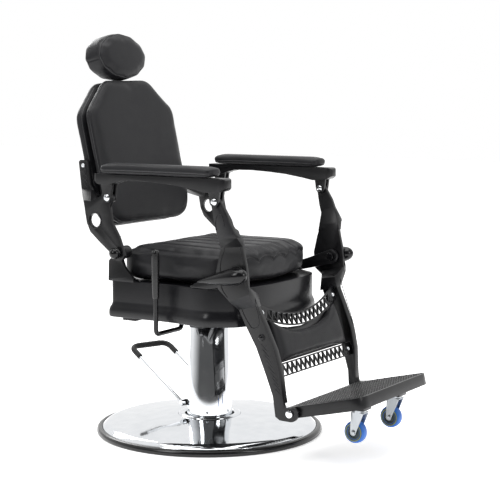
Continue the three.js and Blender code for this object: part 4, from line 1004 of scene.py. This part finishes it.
class CHAIR_OT_back(bpy.types.Operator):
    """Backrest cushion with its stitched border, and the padded rear shell"""
    bl_idname = "chair.back"
    bl_label = "Backrest"

    def execute(self, context):
        out_high = extent("back_cushion", BACK_OUT)[1]
        middle = sum(extent("back_cushion", BACK_UP)) / 2
        seam, rear_seam = 0.014, 0.006

        def shape(p):
            up = p.dot(BACK_UP)
            side = out_high - p.dot(BACK_OUT)
            level = Vector((p.x, 0, 0)) + BACK_UP * (up - middle)
            inwards = level.normalized()
            p -= inwards * 0.0022 * groove(side - seam, 0.003)
            band = groove(side - 0.020, 0.006)
            p -= inwards * 0.0007 * band * math.sin((up + abs(p.x)) * 1150)
            front = held((0.012 - side) / 0.008)
            p += BACK_OUT * front * 0.0012 * noise.noise(Vector((p.x * 7, up * 5, 1.7)))
            return p

        cover = padded("back_cushion_cover", "back_cushion", "back", sizes().back_swell, shape,
                       axes=BACK_AXES)
        shell = padded("back_shell_cover", "back_shell", "back", sizes().small_swell, axes=BACK_AXES)
        outline = outline_points("back_cushion", out_high - seam, BACK_OUT)
        piping("back_front_piping", outline, "back", cover, 0.0011)
        outline = outline_points("back_shell", extent("back_shell", BACK_OUT)[1] - rear_seam, BACK_OUT)
        piping("back_shell_piping", outline, "back", shell, 0.0016)
        return {"FINISHED"}


class CHAIR_OT_headrest(bpy.types.Operator):
    """Oval headrest with a piped edge round each face"""
    bl_idname = "chair.headrest"
    bl_label = "Headrest"

    def execute(self, context):
        out_low, out_high = extent("headrest_pad", BACK_OUT)
        up_low, up_high = extent("headrest_pad", BACK_UP)
        middle_up = (up_low + up_high) / 2
        half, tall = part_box("headrest_pad")[1].x, (up_high - up_low) / 2
        seam = 0.013

        def shape(p):
            r = math.hypot(p.x / half, (p.dot(BACK_UP) - middle_up) / tall)
            out = p.dot(BACK_OUT)
            front = held((out - (out_high - 0.014)) / 0.010)
            p += BACK_OUT * front * (0.004 * max(0.0, 1 - r * r) - 0.003)
            up = p.dot(BACK_UP) - middle_up
            level = (Vector((p.x, 0, 0)) + BACK_UP * up).normalized()
            turn = math.atan2(up / tall, p.x / half)
            p -= level * 0.0022 * groove(out - (out_high - seam), 0.003)
            gathers = groove(out - (out_high - 0.022), 0.012) * (0.6 + 0.4 * math.sin(turn * 11))
            p -= level * 0.0011 * gathers * math.sin(turn * 96)
            flank = held((out_high - 0.016 - out) / 0.006)
            p -= level * 0.0022 * flank * groove(up + 0.008, 0.004)
            return p

        cover = padded("headrest_cover", "headrest_pad", "headrest", sizes().small_swell, shape, 0.0045,
                       BACK_AXES)
        for name, at in (("front", out_high - seam), ("rear", out_low + seam)):
            ring = outline_points("headrest_pad", at, BACK_OUT)
            piping(f"headrest_piping_{name}", ring, "headrest", cover)
        return {"FINISHED"}


class CHAIR_OT_arm_pads(bpy.types.Operator):
    """Padded tops of the arms with a seam round them"""
    bl_idname = "chair.arm_pads"
    bl_label = "Arm pads"

    def execute(self, context):
        for side in SIDES:
            low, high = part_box("arm_pad_" + side)
            seam = low.z + 0.35 * (high.z - low.z)

            def shape(p, low=low, high=high, seam=seam):
                rise = max(0.0, (p.z - seam) / (high.z - seam))
                centre = 0.5 * (low.x + high.x)
                across = (p.x - centre) / (0.5 * (high.x - low.x))
                p.z += 0.003 * rise * (1 - across * across) - 0.0018 * rise
                p.x -= math.copysign(0.0016, across) * groove(p.z - seam, 0.003)
                return p

            cover = padded(f"arm_pad_{side}_cover", "arm_pad_" + side, "arm_" + side, 0.0045, shape,
                           0.0042)
            ring = outline_points("arm_pad_" + side, seam, Vector((0, 0, 1)))
            piping(f"arm_pad_{side}_piping", ring, "arm_" + side, cover)
        return {"FINISHED"}


class CHAIR_OT_calf_pad(bpy.types.Operator):
    """Padded panel of the leg rest"""
    bl_idname = "chair.calf_pad"
    bl_label = "Calf pad"

    def execute(self, context):
        padded("calf_pad_cover", "calf_pad", "legrest", 0.010, voxel=0.0048)
        smoothed_copy("calf_board", "box", 0.0006)
        return {"FINISHED"}


class CHAIR_OT_lever(bpy.types.Operator):
    """Recline lever with its grip"""
    bl_idname = "chair.lever"
    bl_label = "Recline lever"

    def execute(self, context):
        low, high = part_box("lever_rod")
        radius = (high.y - low.y) / 2
        y = (low.y + high.y) / 2
        upright = low.x + radius
        pivot = Vector(JOINT["lever_pull"]["pos_m"])
        elbow, bend = -0.155, 0.016
        level = low.z + radius
        corners = ((high.x, pivot.z), (elbow, pivot.z), (elbow, level), (upright, level), (upright, high.z))
        path = bent([Vector((x, y, z)) for x, z in corners], bend, 10)
        bm = bmesh.new()
        swept(bm, path, radius, 24)
        piece_from(bm, "lever_rod_body", "gloss", "lever", 40, ("lever_rod",))
        grip_low, grip_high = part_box("lever_grip")
        wide = (grip_high.x - grip_low.x) / 2
        tall = grip_high.z - grip_low.z
        profile = [(radius + 0.0004, 0), (0.0088, 0.0), (0.0098, 0.004), (0.0104, 0.02),
                   (wide, tall * 0.45), (wide, tall * 0.8), (wide * 0.96, tall - 0.008),
                   (wide * 0.75, tall - 0.002), (wide * 0.35, tall), (0, tall)]
        turned("lever_grip_body", softened(profile, 0.004), "gloss_rubber", "lever", ("lever_grip",),
               (upright, y, grip_low.z), steps=48)
        return {"FINISHED"}


class CHAIR_OT_casters(bpy.types.Operator):
    """Fork, axle, hub and tyre of each caster"""
    bl_idname = "chair.casters"
    bl_label = "Casters"

    def execute(self, context):
        for side in SIDES:
            smoothed_copy("caster_fork_" + side, "zinc", 0.0006, 2)
            smoothed_copy("caster_axle_" + side, "zinc", 0.0005)
            low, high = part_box("caster_tyre_" + side)
            centre = (low + high) / 2
            half = (high.x - low.x) / 2
            outer = (high.z - low.z) / 2
            inner = 0.0194
            profile = [(inner, -half), (outer - 0.006, -half), (outer - 0.001, -half + 0.004),
                       (outer, 0), (outer - 0.001, half - 0.004), (outer - 0.006, half), (inner, half),
                       (inner, -half)]
            turned(f"caster_tyre_{side}_body", softened(profile, 0.003), "tread", "wheel_" + side,
                   (f"caster_tyre_{side}",), centre, (1, 0, 0), 72)
            hub = 0.019
            bore = 0.0043
            profile = [(bore, -half), (0.008, -half), (0.009, -half + 0.005), (hub - 0.004, -half + 0.005),
                       (hub - 0.003, -half + 0.001), (hub, -half), (hub, half), (hub - 0.003, half - 0.001),
                       (hub - 0.004, half - 0.005), (0.009, half - 0.005), (0.008, half), (bore, half),
                       (bore, -half)]
            turned(f"caster_hub_{side}_body", profile, "nylon", "wheel_" + side,
                   (f"caster_hub_{side}",), centre, (1, 0, 0), 56)
            for name, inside, outside, proud, material in (("flank", 0.0205, 0.0262, 0.0008, "nylon"),
                                                           ("line", 0.0240, 0.0252, 0.0013, "ring")):
                for face in (-1, 1):
                    edge = [(inside, face * (half - 0.001)), (inside, face * (half + proud)),
                            (outside, face * (half + proud)), (outside, face * (half - 0.003))]
                    turned(f"caster_{name}_{side}_{'outer' if face > 0 else 'inner'}", edge + [edge[0]],
                           material, "wheel_" + side, (), centre, (1, 0, 0), 56)
        return {"FINISHED"}


class CHAIR_OT_footrest(bpy.types.Operator):
    """Footrest plate with raised lozenges on its top"""
    bl_idname = "chair.footrest"
    bl_label = "Footrest"

    def execute(self, context):
        smoothed_copy("footrest_plate", "casting", 0.003, 3)
        plate = frame["nodes"]["footrest_plate"].data
        top = max(plate.polygons, key=lambda f: f.area if f.normal.z > 0.9 else 0)
        up = top.normal.copy()
        ahead = up.cross(Vector((1, 0, 0))).normalized()
        if ahead.y > 0:
            ahead.negate()
        level = top.center.dot(up)
        spread = [v.co.dot(ahead) for v in plate.vertices if abs(v.co.dot(up) - level) < 1e-4]
        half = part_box("footrest_plate")[1].x
        pitch = sizes().tread_pitch
        long, short, stagger = 1.35, 0.85, 0.25  # lozenge proportions, and the shift of every other row
        rear_margin, margin = 0.016, 0.014
        corner_deep, corner_wide = 0.055, 0.012  # the plate narrows this much near its hinge
        start, end = min(spread) + rear_margin, max(spread) - margin
        rows = int((end - start) / pitch)
        columns = int(2 * (half - rear_margin) / (pitch * long))
        origin = up * level
        turn = Matrix((Vector((1, 0, 0)), ahead, up)).transposed().to_4x4()
        bm = bmesh.new()
        for row in range(rows + 1):
            for column in range(columns + 1):
                x = (column - columns / 2 + (stagger if row % 2 else -stagger)) * pitch * long
                along = start + row * pitch
                if abs(x) > half - margin - (corner_wide if along < start + corner_deep else 0.0):
                    continue
                place = origin + ahead * along + Vector((x, 0, 0))
                matrix = Matrix.Translation(place) @ turn @ Matrix.Diagonal((long, short, 1, 1))
                bmesh.ops.create_cone(bm, cap_ends=True, segments=4, radius1=pitch * 0.46,
                                      radius2=pitch * 0.26, depth=0.0022,
                                      matrix=matrix @ Matrix.Translation((0, 0, 0.0009)))
        piece_from(bm, "footrest_tread", "casting", "footrest", 20)
        return {"FINISHED"}


class CHAIR_OT_fasteners(bpy.types.Operator):
    """Bolts of the brackets, bars and ears"""
    bl_idname = "chair.fasteners"
    bl_label = "Fasteners"

    def execute(self, context):
        self.bar_bolts()
        self.bracket_bolts()
        self.ledge_bolts()
        self.rail_domes()
        return {"FINISHED"}

    def bar_bolts(self):
        bm = bmesh.new()
        for name, x in (("filigree_top", 0.206), ("filigree_bottom", 0.199)):
            mesh = frame["nodes"][name].data
            out = max((f for f in mesh.polygons), key=lambda f: f.area * (f.normal.y < -0.5)).normal.copy()
            for sign in (-1, 1):
                near = [v.co for v in mesh.vertices if abs(v.co.x - sign * x) < 0.03]
                place = sum(near, Vector()) / len(near)
                face = max(v.dot(out) for v in near)
                place.x = sign * x
                place += out * (face - place.dot(out))
                dome_head(bm, place, out, 0.0058, 0.0046)
        piece_from(bm, "bar_bolts", "chrome", "legrest")

    def bracket_bolts(self):
        for side in SIDES:
            bm = bmesh.new()
            sign = SIGN[side]
            arm = Vector(JOINT["arm_level_" + side]["pos_m"])
            inner = min(abs(v.co.x) for v in frame["nodes"]["back_bracket_" + side].data.vertices)
            for y, up in ((0.155, 0.086), (0.142, 0.006)):
                place = Vector((sign * (inner + BRACKET_THICK), arm.y + y, arm.z + up))
                dome_head(bm, place, (sign, 0, 0), 0.0052, 0.0045)
            piece_from(bm, f"bracket_bolts_{side}", "chrome", "back")

    def ledge_bolts(self):
        bm = bmesh.new()
        for side in SIDES:
            for name, ahead in (("front_ear_", False), ("rear_ear_", True)):
                low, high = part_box(name + side)
                inner = low.x if side == "left" else high.x
                near = [v.co.y for v in frame["nodes"][name + side].data.vertices
                        if abs(v.co.x - inner) < 0.0005]
                y = min(near) + 0.010 if ahead else max(near) - 0.012
                dome_head(bm, Vector((inner + SIGN[side] * 0.007, y, low.z + 0.007)), (0, 0, 1), 0.0050,
                          0.0042)
        piece_from(bm, "ledge_bolts", "chrome", "seat")

    def rail_domes(self):
        """One black dome on each rail, ahead of and below the leg rest's pivot."""
        pivot = Vector(JOINT["legrest_swing"]["pos_m"])
        ahead, below = 0.055, 0.177
        bm = bmesh.new()
        for sign in SIGN.values():
            z = pivot.z - below
            dome_head(bm, Vector((sign * rail_face(z), pivot.y - ahead, z)), (sign, 0, 0), 0.0092, 0.0085)
        piece_from(bm, "rail_domes", "gloss", "legrest")


OPERATORS = (CHAIR_OT_stage, CHAIR_OT_base, CHAIR_OT_pump, CHAIR_OT_castings, CHAIR_OT_seat_box,
             CHAIR_OT_seat_cushion, CHAIR_OT_back, CHAIR_OT_headrest, CHAIR_OT_arm_pads,
             CHAIR_OT_calf_pad, CHAIR_OT_lever, CHAIR_OT_casters, CHAIR_OT_footrest, CHAIR_OT_fasteners)


class CHAIR_PT_panel(bpy.types.Panel):
    """Lists the chair's pieces"""
    bl_idname = "CHAIR_PT_panel"
    bl_label = "Barber chair"
    bl_space_type = "VIEW_3D"
    bl_region_type = "UI"
    bl_category = "Chair"

    def draw(self, context):
        for operator in OPERATORS:
            self.layout.operator(operator.bl_idname)
        for group in (context.scene.chair_sizes, context.scene.chair_colours):
            for name in group.__annotations__:
                self.layout.prop(group, name)


CLASSES = (ChairSizes, ChairColours) + OPERATORS + (CHAIR_PT_panel,)


def register():
    for cls in CLASSES:
        bpy.utils.register_class(cls)
    bpy.types.Scene.chair_sizes = bpy.props.PointerProperty(type=ChairSizes)
    bpy.types.Scene.chair_colours = bpy.props.PointerProperty(type=ChairColours)


def unregister():
    del bpy.types.Scene.chair_colours
    del bpy.types.Scene.chair_sizes
    for cls in reversed(CLASSES):
        bpy.utils.unregister_class(cls)


def finish_cad_nodes():
    """Gives every CAD node its finish, from the record's slots."""
    for part in frame["record"]["subparts"]:
        mesh = frame["nodes"][part["node"]].data
        mesh.materials.clear()
        mesh.materials.append(finish(FINISH_OF_SLOT[part["material_slot"]]))


def main():
    register()
    finish_cad_nodes()
    for operator in OPERATORS:
        group, name = operator.bl_idname.split(".")
        getattr(getattr(bpy.ops, group), name)()


if __name__ == "__main__":
    main()
